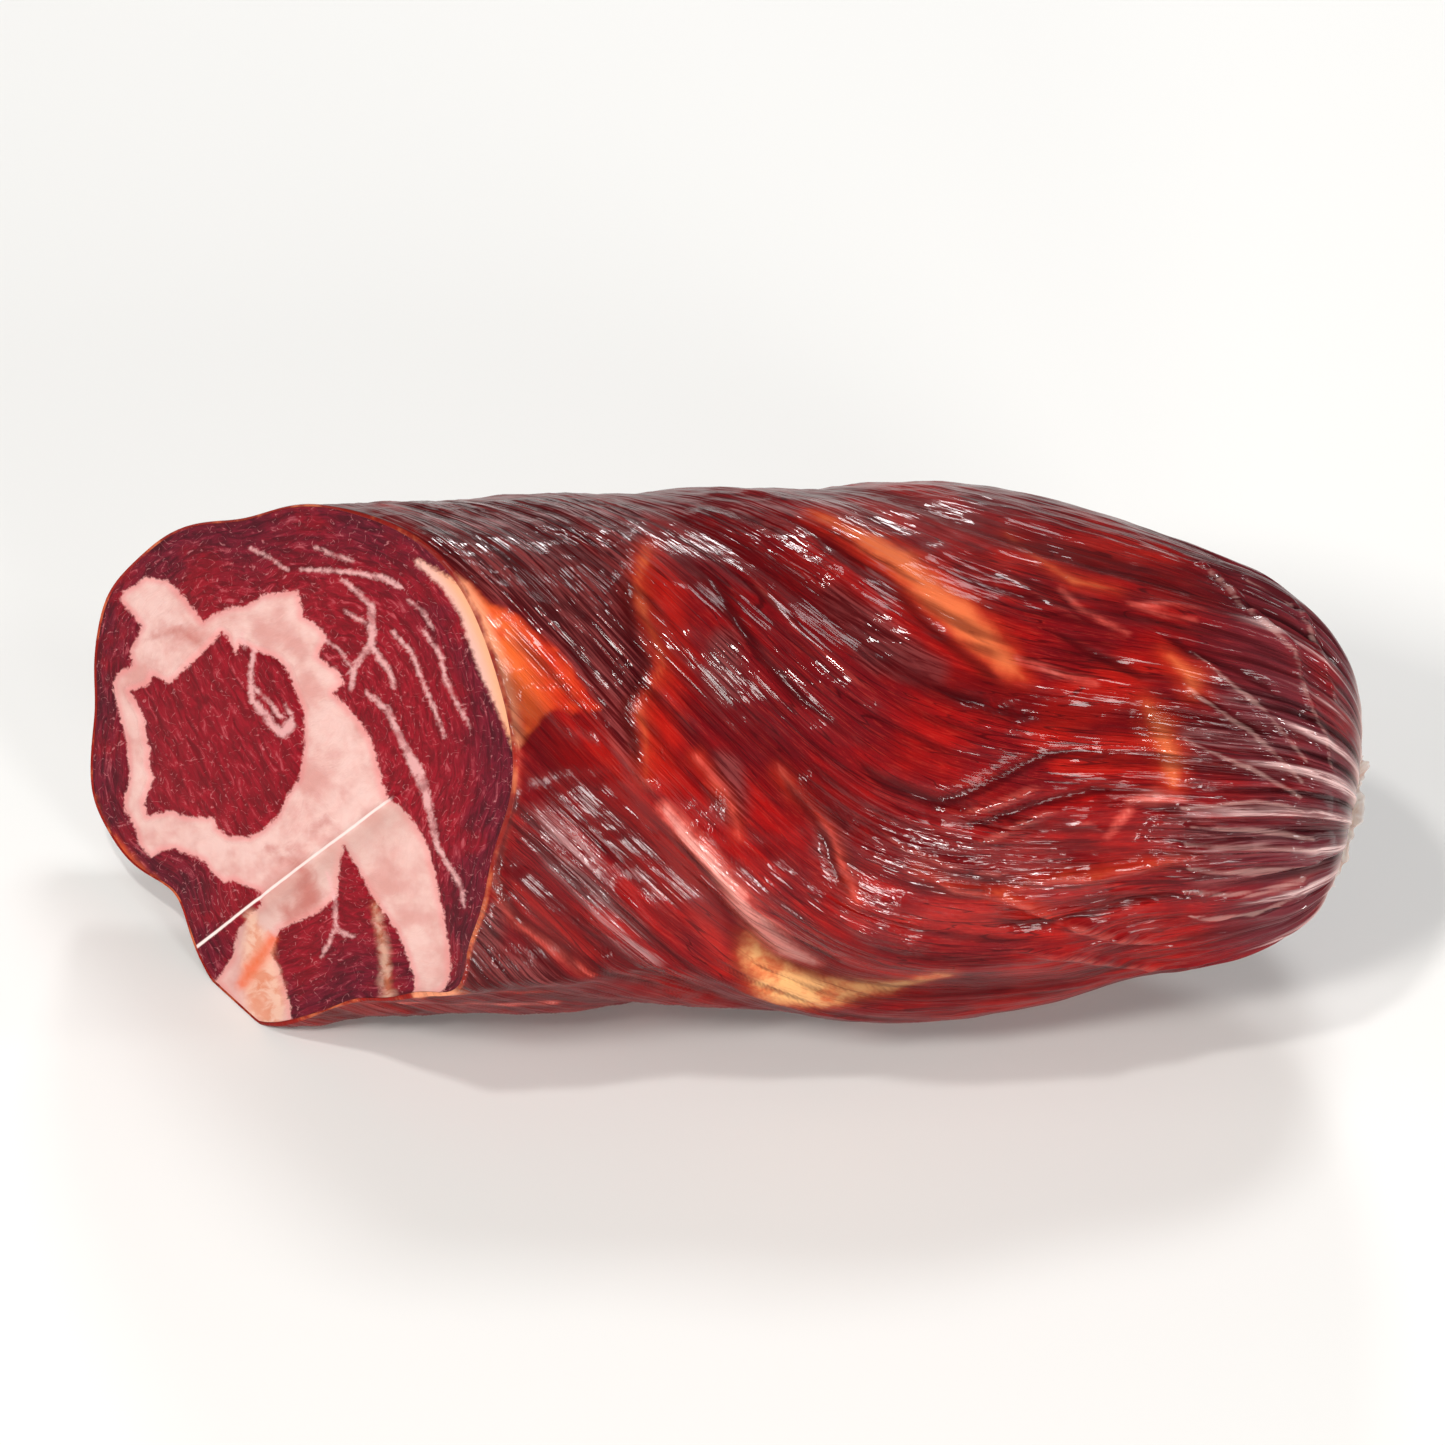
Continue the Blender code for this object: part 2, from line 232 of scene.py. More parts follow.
# Strokes of the pattern seen through the casing, laid on the shown side: (x, u, half-width) in mm.
SKIN_FAT = (
    ((48.4, -33.6, 0.7), (55.0, -33.6, 0.7), (63.6, -33.8, 0.6), (70.8, -33.6, 0.4)),
)
SKIN_GLOW = (
    ((105.4, 35.6, 0.9), (109.0, 33.1, 1.7), (114.2, 30.8, 2.6), (118.1, 27.6, 2.9), (122.5, 23.2, 3.2)),
    ((122.5, 23.2, 3.2), (126.4, 20.0, 3.5), (130.5, 16.6, 3.2), (133.9, 13.0, 2.0), (135.6, 11.1, 0.9)),
    ((81.9, 30.4, 0.9), (81.2, 27.6, 1.2), (80.8, 24.0, 1.3), (81.2, 22.0, 1.3), (81.9, 19.3, 1.3),
     (83.5, 16.1, 1.2)),
    ((83.5, 16.1, 1.2), (84.4, 13.0, 0.9), (81.9, 9.1, 0.7), (80.8, 7.1, 0.9), (81.6, 3.5, 0.9),
     (81.9, -2.9, 0.4)),
    ((63.4, 0.7, -0.5), (61.3, -5.6, -0.5), (61.1, -11.5, -0.5), (60.2, -17.1, -0.5), (61.1, -19.9, -0.5)),
    ((61.1, -19.9, -0.5), (63.4, -23.0, -0.4), (66.1, -25.8, -0.4), (70.1, -28.2, -0.4), (74.0, -31.0, -0.4)),
    ((133.9, 32.0, 0.6), (138.2, 28.4, 0.9), (143.0, 25.2, 1.2), (148.6, 24.0, 0.9)),
    ((156.8, 14.4, 1.4), (159.2, 12.0, 2.2), (159.8, 9.1, 1.5)),
    ((153.4, 7.2, 1.6), (155.0, 4.4, 2.6), (156.3, 0.0, 2.3), (157.0, -3.6, 1.2)),
    ((89.1, 0.3, 0.3), (93.9, -6.8, 0.4), (95.5, -11.2, 0.3)),
    ((101.1, -1.3, 0.3), (103.4, -4.9, 0.4), (106.3, -8.1, 0.4), (108.1, -11.2, 0.4), (109.7, -15.6, 0.4),
     (111.7, -20.3, 0.3)),
    ((120.1, -16.0, 0.3), (125.6, -18.7, 0.4), (131.9, -19.4, 0.4), (136.7, -21.0, 0.4), (139.1, -22.6, 0.3)),
    ((132.8, -18.7, 0.3), (140.7, -17.1, 0.4), (145.9, -17.1, 0.4), (152.5, -15.6, 0.4), (160.4, -14.4, 0.3)),
)
SKIN_TAN = (
    ((96.6, -25.6, 0.6), (98.6, -29.5, 2.0), (101.5, -33.0, 3.6), (106.0, -34.2, 3.4), (110.5, -33.4, 2.2),
     (116.5, -32.6, 1.2), (124.0, -31.2, 0.6)),
)
SKIN_CREAM = (
    ((63.4, 0.7, -0.3), (61.3, -5.6, -0.3), (61.1, -11.5, -0.3), (60.2, -17.1, -0.3), (61.1, -19.9, -0.3)),
    ((61.1, -19.9, -0.3), (63.4, -23.0, -0.2), (66.1, -25.8, -0.2), (70.1, -28.2, -0.2), (74.0, -31.0, -0.3)),
    ((89.1, 0.3, -0.5), (93.9, -6.8, -0.4), (95.5, -11.2, -0.5)),
    ((101.1, -1.3, -0.5), (103.4, -4.9, -0.4), (106.3, -8.1, -0.3), (108.1, -11.2, -0.4),
     (109.7, -15.6, -0.4), (111.7, -20.3, -0.5)),
    ((84.4, -7.2, 0.6), (88.0, -11.5, 1.2), (91.2, -15.6, 1.3), (93.9, -18.7, 1.4), (96.6, -22.3, 1.6),
     (99.1, -25.1, 1.7)),
    ((99.1, -25.1, 1.7), (101.8, -27.4, 1.6), (105.7, -29.4, 0.9)),
    ((151.3, 22.0, -0.4), (155.1, 21.7, -0.1), (161.6, 21.3, -0.5)),
    ((151.3, 22.0, -0.4), (155.8, 20.4, -0.2), (160.1, 19.7, -0.5)),
    ((134.8, 13.8, -0.3), (140.0, 12.2, -0.2), (145.9, 10.5, -0.5)),
    ((140.7, 24.0, -0.4), (144.3, 20.9, -0.3), (150.2, 17.7, -0.5)),
    ((150.9, -5.9, -0.2), (154.4, -5.5, 0.5), (158.1, -5.9, -0.2)),
    ((147.7, -11.2, -0.4), (149.3, -9.1, 0.0), (150.6, -7.6, -0.2)),
    ((171.6, -18.9, 0.2), (175.2, -17.4, 0.6), (178.6, -15.1, 0.3)),
    ((46.4, -35.4, 0.3), (56.4, -35.3, 0.3), (68.5, -35.4, 0.3)),
)
SKIN_BRIGHT = (
    ((83.1, 28.4, 1.4), (85.0, 22.6, 2.3), (86.0, 16.8, 2.0), (86.7, 12.8, 1.7), (85.0, 7.5, 2.0),
     (85.0, 1.7, 2.0), (84.4, -3.3, 1.2)),
    ((75.2, 1.7, 0.9), (80.9, -6.2, 1.4), (86.0, -13.4, 2.0), (89.6, -19.2, 2.3), (91.9, -24.9, 2.0),
     (93.0, -30.0, 1.2)),
    ((63.4, -19.2, 0.7), (66.5, -22.8, 1.7), (70.8, -26.1, 1.4), (74.0, -28.1, 0.7)),
    ((138.5, 3.2, 2.6), (145.0, 8.2, 4.0), (151.5, 12.2, 2.6)),
    ((141.4, -1.2, 2.0), (148.6, 1.0, 3.5), (152.9, 2.4, 1.4)),
    ((118.1, -23.5, 0.6), (123.4, -22.9, 2.0), (129.2, -23.2, 2.9), (135.6, -23.5, 2.0), (140.7, -23.8, 0.6)),
    ((106.8, 37.0, 1.4), (112.6, 35.6, 2.3), (118.4, 34.1, 2.0)),
    ((132.8, 28.4, 2.3), (144.3, 29.8, 3.5), (155.8, 29.1, 2.9)),
)
SKIN_DUSK = (
    ((92.7, 16.1, 2.3), (93.0, 9.6, 2.3)),
    ((93.3, -1.2, 2.3), (94.0, -7.3, 2.3)),
    ((108.3, 22.6, 2.3), (115.5, 15.4, 3.7), (122.7, 12.2, 2.0)),
    ((51.5, -33.0, 1.2), (55.3, -31.8, 2.4), (59.0, -26.4, 2.6), (60.6, -21.8, 1.0)),
    ((58.8, -31.0, 2.8), (64.5, -30.5, 2.4), (69.0, -32.0, 1.4)),
    ((106.8, -13.4, 1.2), (108.6, -9.1, 2.0), (110.4, -17.7, 1.7)),
    ((160.1, 3.2, 1.7), (170.2, 3.9, 2.3)),
    ((160.1, -10.5, 1.7), (171.6, -11.2, 2.0)),
    ((161.6, -17.7, 1.2), (170.2, -17.0, 1.2)),
)
# Painted sheen: greyish bands of reflected light laid on the casing, along the top, on the lower front and
# near the tie.
SKIN_SHEEN = (
    ((46.4, 34.1, 1.2), (57.9, 33.8, 2.6), (69.4, 34.8, 2.0), (86.7, 35.6, 1.4), (104.0, 35.9, 1.4)),
    ((114.2, 26.8, 0.7), (115.5, 24.0, 1.2), (116.1, 22.5, 0.7)),
    ((67.2, -9.1, 2.0), (71.6, -14.8, 2.9), (75.2, -19.2, 1.4)),
    ((75.2, -19.2, 1.2), (78.8, -24.9, 2.6), (82.4, -29.2, 1.2)),
    ((165.2, 9.6, 0.9), (168.8, 7.5, 2.0), (172.4, 4.6, 1.2)),
    ((160.1, 2.2, 1.2), (167.3, 2.2, 2.0), (173.1, 0.7, 1.2)),
    ((159.4, -7.9, 1.2), (165.2, -7.6, 1.4), (170.2, -7.1, 0.9)),
    ((160.8, -12.2, 1.2), (167.3, -12.2, 1.2), (173.1, -11.7, 0.9)),
)
SKIN_FAT_OUTLINE = (
    (54.0, 26.2), (56.4, 24.8), (59.5, 22.0), (63.4, 20.4), (67.0, 17.0), (70.1, 14.1), (73.3, 9.8),
     (75.2, 7.1),
    (72.3, 6.5), (69.4, 6.9), (67.2, 5.6), (64.9, 3.0), (63.5, 0.7), (61.5, 8.2), (58.5, 15.4), (54.4, 22.2),
)
SKIN_DUSK_OUTLINE = (
    (46.4, 37.0), (80.9, 36.3), (82.4, 31.2), (80.9, 27.6), (80.4, 22.6), (82.4, 16.8), (83.1, 13.2),
    (80.9, 8.2), (80.9, 2.4), (82.1, -3.6), (80.1, -1.3), (77.2, 1.9), (74.9, 5.9), (73.7, 9.6),
    (70.1, 14.7), (67.0, 17.6), (63.4, 21.2), (59.5, 22.6), (54.3, 26.9), (49.2, 32.0),
)
# Gathers of the casing towards the tie: thin raised film, painted whitish, partly the film's own pale tone
# and partly a painted highlight along its crest.
SKIN_GATHERS = (
    ((158.7, -7.1, 0.2), (168.8, -6.2, 0.4), (176.0, -7.9, 0.3)),
    ((159.4, -9.9, 0.2), (168.8, -10.5, 0.4), (177.4, -11.7, 0.3)),
    ((158.7, -12.7, 0.2), (168.8, -13.1, 0.4), (177.7, -13.4, 0.3)),
    ((159.4, -16.0, 0.2), (168.8, -16.6, 0.4), (178.1, -15.1, 0.3)),
    ((158.7, -19.2, 0.2), (168.8, -19.9, 0.4), (176.0, -17.7, 0.3)),
    ((160.1, -22.8, 0.2), (168.8, -22.3, 0.4), (176.0, -19.6, 0.3)),
    ((160.1, 14.7, 0.1), (168.8, 8.2, 0.4), (176.0, -0.4, 0.3)),
    ((159.4, 9.6, 0.1), (167.3, 3.9, 0.4), (175.2, -3.3, 0.3)),
    ((158.7, 2.4, 0.1), (167.3, -1.2, 0.4), (175.2, -5.5, 0.3)),
    ((161.6, 27.6, 0.1), (164.7, 24.8, 0.3), (170.9, 19.0, 0.3), (174.5, 15.4, 0.3), (176.0, 9.6, 0.2)),
    ((167.9, 25.5, 0.1), (174.5, 21.9, 0.3), (177.4, 16.8, 0.3), (180.3, 8.2, 0.2)),
    ((176.0, 9.6, 0.2), (178.5, 4.0, 0.3), (180.0, -1.5, 0.2)),
)
# Where the casing is crumpled into fine folds that catch the light; elsewhere it is drawn smooth.
SKIN_CRUMPLED = (
    ((52.0, 31.5, 1.2), (58.0, 29.0, 2.2), (61.0, 27.5, 1.0)),
    ((67.0, 33.5, 1.0), (72.0, 33.0, 1.5), (76.0, 32.0, 1.0)),
    ((90.0, 34.5, 1.0), (97.0, 32.4, 1.6), (102.0, 29.5, 2.5), (106.0, 27.0, 1.5)),
    ((60.5, -21.0, 0.6), (57.0, -27.0, 2.0), (58.0, -32.0, 2.2), (64.0, -31.0, 1.0)),
    ((67.0, -8.0, 1.5), (71.6, -14.0, 3.0), (76.0, -20.0, 2.0), (77.0, -24.5, 2.6), (80.5, -28.0, 1.5)),
    ((78.0, -29.0, 1.5), (84.0, -31.0, 2.0), (88.0, -33.0, 1.2)),
    ((88.5, -12.5, 1.0), (92.5, -16.5, 1.8), (97.5, -21.5, 2.6), (102.0, -24.5, 3.0), (107.0, -27.0, 1.8)),
    ((111.0, -20.5, 1.5), (115.5, -23.5, 2.6), (119.5, -25.5, 1.5)),
    ((134.0, -20.2, 1.0), (141.0, -21.4, 1.2)),
    ((65.0, 9.0, 1.2), (70.0, 7.5, 1.8), (74.0, 5.0, 1.2)),
    ((80.0, 12.0, 1.0), (81.0, 5.0, 1.2), (82.0, -2.0, 1.0), (84.0, -2.0, 1.5), (90.0, -6.0, 1.5)),
    ((107.0, -5.0, 2.0), (114.0, -10.0, 3.0), (122.0, -14.0, 3.0), (128.0, -17.0, 2.0)),
    ((126.0, -10.0, 2.5), (134.0, -14.0, 4.0), (142.0, -19.0, 4.0), (150.0, -24.0, 4.0), (156.0, -27.0, 3.0)),
    ((158.0, 4.0, 4.0), (166.0, 0.0, 6.0), (174.0, -6.0, 6.0)),
    ((158.0, -12.0, 4.0), (168.0, -13.0, 6.0), (176.0, -13.0, 5.0)),
)
# Ridges and grooves in the casing: each stroke's points, its height in mm and its width.
SKIN_RELIEF = (
    (((84.4, -7.2), (88.0, -11.5), (91.2, -15.6), (93.9, -18.7), (96.6, -22.3), (99.1, -25.1), (101.8, -27.4),
      (105.7, -29.4)), 0.75, 1.5),
    (((74.9, 5.9), (77.2, 1.9), (80.1, -1.3), (81.9, -3.6), (84.4, -6.8)), 0.5, 1.0),
    (((125.3, -8.1), (128.7, -7.2), (132.8, -6.0), (136.7, -4.5), (140.3, -3.3)), 0.8, 0.9),
    (((126.4, -12.8), (131.2, -11.5), (135.1, -9.6), (138.2, -8.1), (143.0, -7.2)), 0.8, 0.9),
    (((139.8, -9.9), (144.6, -9.6), (148.2, -10.8)), 0.7, 0.8),
    (((120.1, -16.0), (125.6, -18.7), (131.9, -19.4), (136.7, -21.0), (139.1, -22.6)), 0.7, 0.8),
    (((132.8, -18.7), (140.7, -17.1), (145.9, -17.1), (152.5, -15.6), (160.4, -14.4)), 0.75, 0.8),
    (((125.6, 5.3), (131.3, 7.5), (137.1, 9.1)), 0.5, 0.6),
    (((127.0, 3.6), (133.5, 6.0), (139.2, 8.2)), 0.5, 0.6),
    (((129.2, 2.4), (134.9, 4.3), (140.7, 6.5)), 0.5, 0.6),
    (((161.6, 27.6), (164.7, 24.8), (170.9, 19.0), (174.5, 15.4), (176.0, 9.6)), 0.3, 0.6),
    (((167.9, 25.5), (174.5, 21.9), (177.4, 16.8), (180.3, 8.2)), 0.3, 0.6),
    (((135.6, -21.3), (144.3, -24.2), (154.4, -26.4), (161.6, -25.6)), 0.8, 0.9),
    (((132.8, -26.4), (142.8, -28.5), (154.4, -30.0), (160.1, -28.9)), 0.8, 0.9),
    (((151.3, 22.0), (155.1, 21.7), (161.6, 21.3)), 0.35, 0.6),
    (((63.4, 0.7), (61.3, -5.6), (61.1, -11.5), (60.2, -17.1), (61.1, -19.9), (63.4, -23.0), (70.1, -28.2),
      (77.6, -33.0)), -0.5, 1.0),
    (((80.1, 28.4), (79.2, 23.3), (80.1, 16.8), (82.4, 13.2), (80.1, 9.1), (78.9, 6.5), (80.1, 1.0),
      (80.9, -3.0)), -0.45, 1.1),
    (((150.6, -7.6), (157.2, -7.5), (161.6, -8.5)), -0.5, 0.8),
    (((151.5, 19.7), (160.1, 14.7), (165.9, 12.8), (170.2, 10.4), (172.4, 8.2)), -0.5, 0.9),
    (((155.8, 9.6), (161.6, 8.2), (168.8, 3.9), (172.4, 1.7)), -0.45, 0.9),
    (((100.2, -1.3), (102.5, -4.9), (105.4, -8.1), (107.3, -11.2), (108.9, -15.6),
      (110.9, -20.3)), -0.4, 0.9),
    (((103.2, 34.1), (108.3, 30.1), (112.9, 26.6), (118.4, 22.3), (124.1, 16.8), (130.6, 12.2),
      (134.2, 9.6)), -0.4, 1.2),
    (((112.0, -8.0), (118.0, -12.5), (125.0, -15.4), (132.0, -16.4), (138.0, -14.6)), 0.6, 0.8),
    (((110.0, 1.0), (116.0, -3.6), (123.0, -6.6), (130.0, -4.2), (138.0, 0.0), (146.0, 1.6)), -0.6, 0.9),
    (((124.0, -10.6), (130.0, -9.6), (137.0, -7.0), (145.0, -5.0), (152.0, -4.6)), -0.6, 0.8),
    (((128.0, -22.4), (136.0, -24.4), (146.0, -22.0), (156.0, -20.0), (164.0, -19.6)), -0.6, 0.9),
    (((118.0, 12.0), (126.0, 8.6), (134.0, 6.8), (142.0, 4.6)), -0.5, 0.8),
    (((136.0, 20.0), (144.0, 15.6), (152.0, 12.0), (158.0, 10.6)), -0.5, 0.9),
    (((126.0, 28.6), (134.0, 25.4), (141.0, 21.0), (149.0, 16.4)), 0.5, 1.0),
    (((88.6, 28.0), (93.0, 22.0), (98.0, 15.0), (104.0, 8.4), (112.0, 2.4)), -0.5, 1.0),
    (((92.0, 30.0), (98.0, 24.0), (104.0, 17.4), (111.0, 11.0), (119.0, 6.4)), 0.5, 0.9),
)


def wrapped(degrees):
    """An angle brought between -180 and 180 degrees."""
    return (degrees + 180.0) % 360.0 - 180.0


def bump(offset, spread):
    """A soft bump, 1 at its middle."""
    return np.exp(-((offset / spread) ** 2))


def ramp(value, low, high):
    """An eased step from 0 at low to 1 at high."""
    share = np.clip((value - low) / (high - low), 0.0, 1.0)
    return share * share * (3.0 - 2.0 * share)


def station(along, column):
    """A column of STATIONS on the smooth curve through them."""
    last = len(STATIONS) - 1
    i = np.minimum(np.searchsorted(STATIONS[1:, ALONG], along, side="left"), last - 1)
    here, there = STATIONS[i], STATIONS[i + 1]
    before, after = STATIONS[np.maximum(i - 1, 0)], STATIONS[np.minimum(i + 2, last)]
    span = there[..., ALONG] - here[..., ALONG]
    t = np.clip((along - here[..., ALONG]) / span, 0.0, 1.0)
    rise_here, run_here = there[..., column] - before[..., column], there[..., ALONG] - before[..., ALONG]
    rise_there, run_there = after[..., column] - here[..., column], after[..., ALONG] - here[..., ALONG]
    slope_here, slope_there = rise_here / run_here * span, rise_there / run_there * span
    return (
        (2 * t**3 - 3 * t**2 + 1) * here[..., column]
        + (t**3 - 2 * t**2 + t) * slope_here
        + (3 * t**2 - 2 * t**3) * there[..., column]
        + (t**3 - t**2) * slope_there
    )


def fibre_turn(x, angle):
    """How far, in degrees, the muscle has wound round by x."""
    end = FIBRE_END + FIBRE_SWAY * np.sin(np.radians(angle))
    eased = FIBRE_EASE * np.log(1.0 + np.exp((x - end) / FIBRE_EASE))
    return np.degrees(FIBRE_WINDING * (x - eased))


def seam_relief(x, angle):
    """The furrows and swells between the muscles, which wind round with the fibres."""
    fibre = angle + fibre_turn(x, angle)
    height = 0.0
    for middle, tall, spread, first, last in SEAMS:
        rise = ramp(x, first - SEAM_FADE, first + SEAM_FADE)
        fall = 1.0 - ramp(x, last - SEAM_FADE, last + SEAM_FADE)
        height = height + tall * (rise * fall) * bump(wrapped(fibre - middle), spread)
    return height


def make_pleats():
    """The pleats round the tie: each one's middle in degrees, where it starts and its height."""
    draw = random.Random(PLEAT_SEED)
    pleats = []
    for i in range(PLEAT_COUNT):
        middle = i * 360.0 / PLEAT_COUNT + draw.uniform(-2.6, 2.6)
        start = draw.uniform(146.0, 160.0)
        pleats.append((middle, start, PLEAT_HEIGHT * draw.uniform(0.6, 1.15)))
    return pleats


def pleat_relief(along, angle):
    """The gathered pleats, kept shallow where the end grows thin."""
    height = 0.0
    half_wide = 180.0 / PLEAT_COUNT
    for middle, start, tall in make_pleats():
        offset = np.minimum(np.abs(wrapped(angle - middle)) / half_wide, 1.0)
        crest = np.where(offset < 1.0, (0.5 + 0.5 * np.cos(math.pi * offset)) ** 1.4 - 0.35, 0.0)
        height = height + tall * crest * ramp(along, start, start + PLEAT_RUN)
    most = PLEAT_LIMIT * station(along, RADIUS)
    return np.clip(height, -most, most)


def cut_lobes(angle):
    """How far the cut outline stands out of round."""
    return sum(tall * bump(wrapped(angle - middle), spread) for middle, tall, spread in CUT_LOBES)


def belly(x, angle):
    """The broad swell on the trunk's lower front."""
    middle, tall, spread = BELLY
    run = ramp(x, *BELLY_RISE) * (1.0 - ramp(x, *BELLY_FALL))
    return tall * run * bump(wrapped(angle - middle), spread)


def around(x, radius, angle):
    """The f and u at this radius round the axis, pressed in where it meets the table."""
    back, lift = station(x, BACK), station(x, LIFT)
    angle = np.radians(angle)
    fall = -np.sin(angle + REST_ROLL)
    drop = TABLE_DROP + back * math.sin(REST_ROLL) + lift * math.cos(REST_ROLL)
    floor_radius = drop / np.maximum(fall, 1e-6)
    radius = np.where(fall > 1e-6, np.minimum(radius, floor_radius), radius)
    return back + radius * np.cos(angle), lift + radius * np.sin(angle)


def rim_place(angle):
    """The f and u of the cut outline at this angle."""
    start = np.zeros_like(angle)
    return around(start, station(start, RADIUS) + cut_lobes(angle), angle)


def cut_plane(f, u):
    """The x of the slanted cut at this f and u."""
    return CUT_X + CUT_SLANT * f + CUT_LEAN * u


def inner_place(angle, inset, depth):
    """A place in the cut plane, an inset in from the rim and a depth behind it."""
    f, u = rim_place(angle)
    out = np.hypot(f, u)
    share = np.maximum(0.0, (out - inset) / out)
    f, u = f * share, u * share
    return cut_plane(f, u) + depth, f, u


def reach_of(places, strokes):
    """How far inside the nearest stroke each place lies, in mm, and less than 0 outside."""
    best = np.full(len(places), -60.0)
    for stroke in strokes:
        for start, end in zip(stroke[:-1], stroke[1:]):
            start, end = np.asarray(start, dtype=float), np.asarray(end, dtype=float)
            run = end[:-1] - start[:-1]
            share = np.clip((places - start[:-1]) @ run / max(run @ run, 1e-9), 0.0, 1.0)
            gap = np.linalg.norm(places - start[:-1] - share[:, None] * run, axis=1)
            best = np.maximum(best, start[-1] + share * (end[-1] - start[-1]) - gap)
    return best


def inside_reach(places, outline):
    """How far inside a closed outline each place lies, in mm, and less than 0 outside."""
    corners = np.array(outline)
    ends = np.roll(corners, -1, axis=0)
    nearest = np.full(len(places), 1e9)
    crossings = np.zeros(len(places), dtype=int)
    for start, end in zip(corners, ends):
        run = end - start
        share = np.clip((places - start) @ run / (run @ run), 0.0, 1.0)
        nearest = np.minimum(nearest, np.linalg.norm(places - start - share[:, None] * run, axis=1))
        if start[1] != end[1]:
            between = (start[1] > places[:, 1]) != (end[1] > places[:, 1])
            crossing_x = start[0] + (places[:, 1] - start[1]) * run[0] / run[1]
            crossings += between & (places[:, 0] < crossing_x)
    return np.where(crossings % 2 == 1, nearest, -nearest)


def noise_of(places):
    """Smooth noise, from -1 to 1, at each place."""
    return np.array([noise.noise(Vector(place)) for place in places.tolist()])


def corners_of(piece):
    """The places of a piece's corners, one a row."""
    corners = np.empty(len(piece.data.vertices) * 3)
    piece.data.vertices.foreach_get("co", corners)
    return corners.reshape(-1, 3)


def spanned_globe(name, columns, bands):
    """A globe to be shaped, a grid rolled round and welded, with each corner's band and angle."""
    bpy.ops.object.select_all(action="DESELECT")
    bpy.ops.mesh.primitive_grid_add(
        x_subdivisions=columns, y_subdivisions=bands, size=2.0, calc_uvs=False
    )
    piece = bpy.context.object
    piece.name = name
    corners = corners_of(piece)
    turn, down = corners[:, 0] * math.pi, (1.0 - corners[:, 1]) * math.pi / 2
    globe = np.stack((np.sin(down) * np.cos(turn), np.sin(down) * np.sin(turn), np.cos(down)), axis=-1)
    piece.data.vertices.foreach_set("co", globe.ravel())
    weld = piece.modifiers.new("weld", "WELD")
    weld.merge_threshold = 0.00002
    bpy.ops.object.modifier_apply(modifier=weld.name)
    corners = corners_of(piece)
    band = np.rint(np.arccos(np.clip(corners[:, 2], -1.0, 1.0)) / math.pi * bands).astype(int)
    return piece, band, np.degrees(np.arctan2(corners[:, 1], corners[:, 0]))


def keep_attribute(piece, name, values):
    """Stores a number, or a vector, for each corner."""
    kind, field = ("FLOAT", "value") if values.ndim == 1 else ("FLOAT_VECTOR", "vector")
    layer = piece.data.attributes.new(name, kind, "POINT")
    layer.data.foreach_set(field, values.astype(np.float32).ravel())


def lay_corners(piece, x, f, u):
    """Puts a piece's corners at their places and shades it smooth."""
    piece.data.vertices.foreach_set("co", laid_down(x, f, u).ravel())
    piece.data.update()
    bpy.ops.object.shade_smooth_by_angle(angle=SMOOTH_ANGLE)


# The rings of the skin, from the middle of the cut, under the face, to the tie.
CAP_SHARES = (0.25, 0.5, 0.75, 0.9)
CAP_DEPTH = 2.6
LIP_WIDTH = 0.3
LIP_RINGS = ((CASING_EDGE + 0.1, 2.4), (CASING_EDGE, 0.5), (CASING_EDGE - 0.08, 0.02), (0.12, 0.0))
END_TURN = 9.0
TIE_X, TIE_RADIUS = 179.9, 2.0
TIE_MIDDLE = (-2.3, -8.7)
END_RINGS = SKIN_SLANTED_RINGS + SKIN_END_RINGS + 2
skin_bands = 1 + len(CAP_SHARES) + len(LIP_RINGS) + END_RINGS
skin, skin_band, skin_angle = spanned_globe("cased_skin", SKIN_COLUMNS, skin_bands)
count = len(skin_band)
x, f, u = np.zeros(count), np.zeros(count), np.zeros(count)
lay, theta = np.zeros(count), skin_angle.copy()
ring = 1
for share in (0.0,) + CAP_SHARES:
    at = skin_band == (0 if share == 0.0 else ring)
    rim_f, rim_u = rim_place(skin_angle[at])
    f[at], u[at] = rim_f * share, rim_u * share
    x[at] = cut_plane(f[at], u[at]) + CAP_DEPTH
    ring += share > 0.0
for inset, depth in LIP_RINGS:
    at = skin_band == ring
    x[at], f[at], u[at] = inner_place(skin_angle[at], inset, depth)
    lay[at] = cut_plane(*rim_place(skin_angle[at]))
    ring += 1

# From the rim to the end part the rings lie closer near the cut, and the columns wind round with the
# fibres, easing out before the pleats.
slanted = (skin_band >= ring) & (skin_band < ring + SKIN_SLANTED_RINGS)
share = (skin_band[slanted] - ring) / (SKIN_SLANTED_RINGS - 1)
share = share * (0.55 + 0.45 * share)
wound = 1.4 * share
wound = np.where(wound < 0.6, wound, 1.0 - (1.4 - wound) ** 2 / 1.6)
theta[slanted] = skin_angle[slanted] - SKIN_WINDING * wound
start_x = cut_plane(*rim_place(theta[slanted])) + LIP_WIDTH
lay[slanted] = start_x + (SKIN_SLANTED_LAST - start_x) * share
ring += SKIN_SLANTED_RINGS
ended = (skin_band >= ring) & (skin_band < ring + SKIN_END_RINGS)
share = (skin_band[ended] - ring) / (SKIN_END_RINGS - 1)
lay[ended] = SKIN_END_FIRST + (SKIN_END_LAST - SKIN_END_FIRST) * share
theta[ended] = skin_angle[ended] - SKIN_WINDING
ring += SKIN_END_RINGS


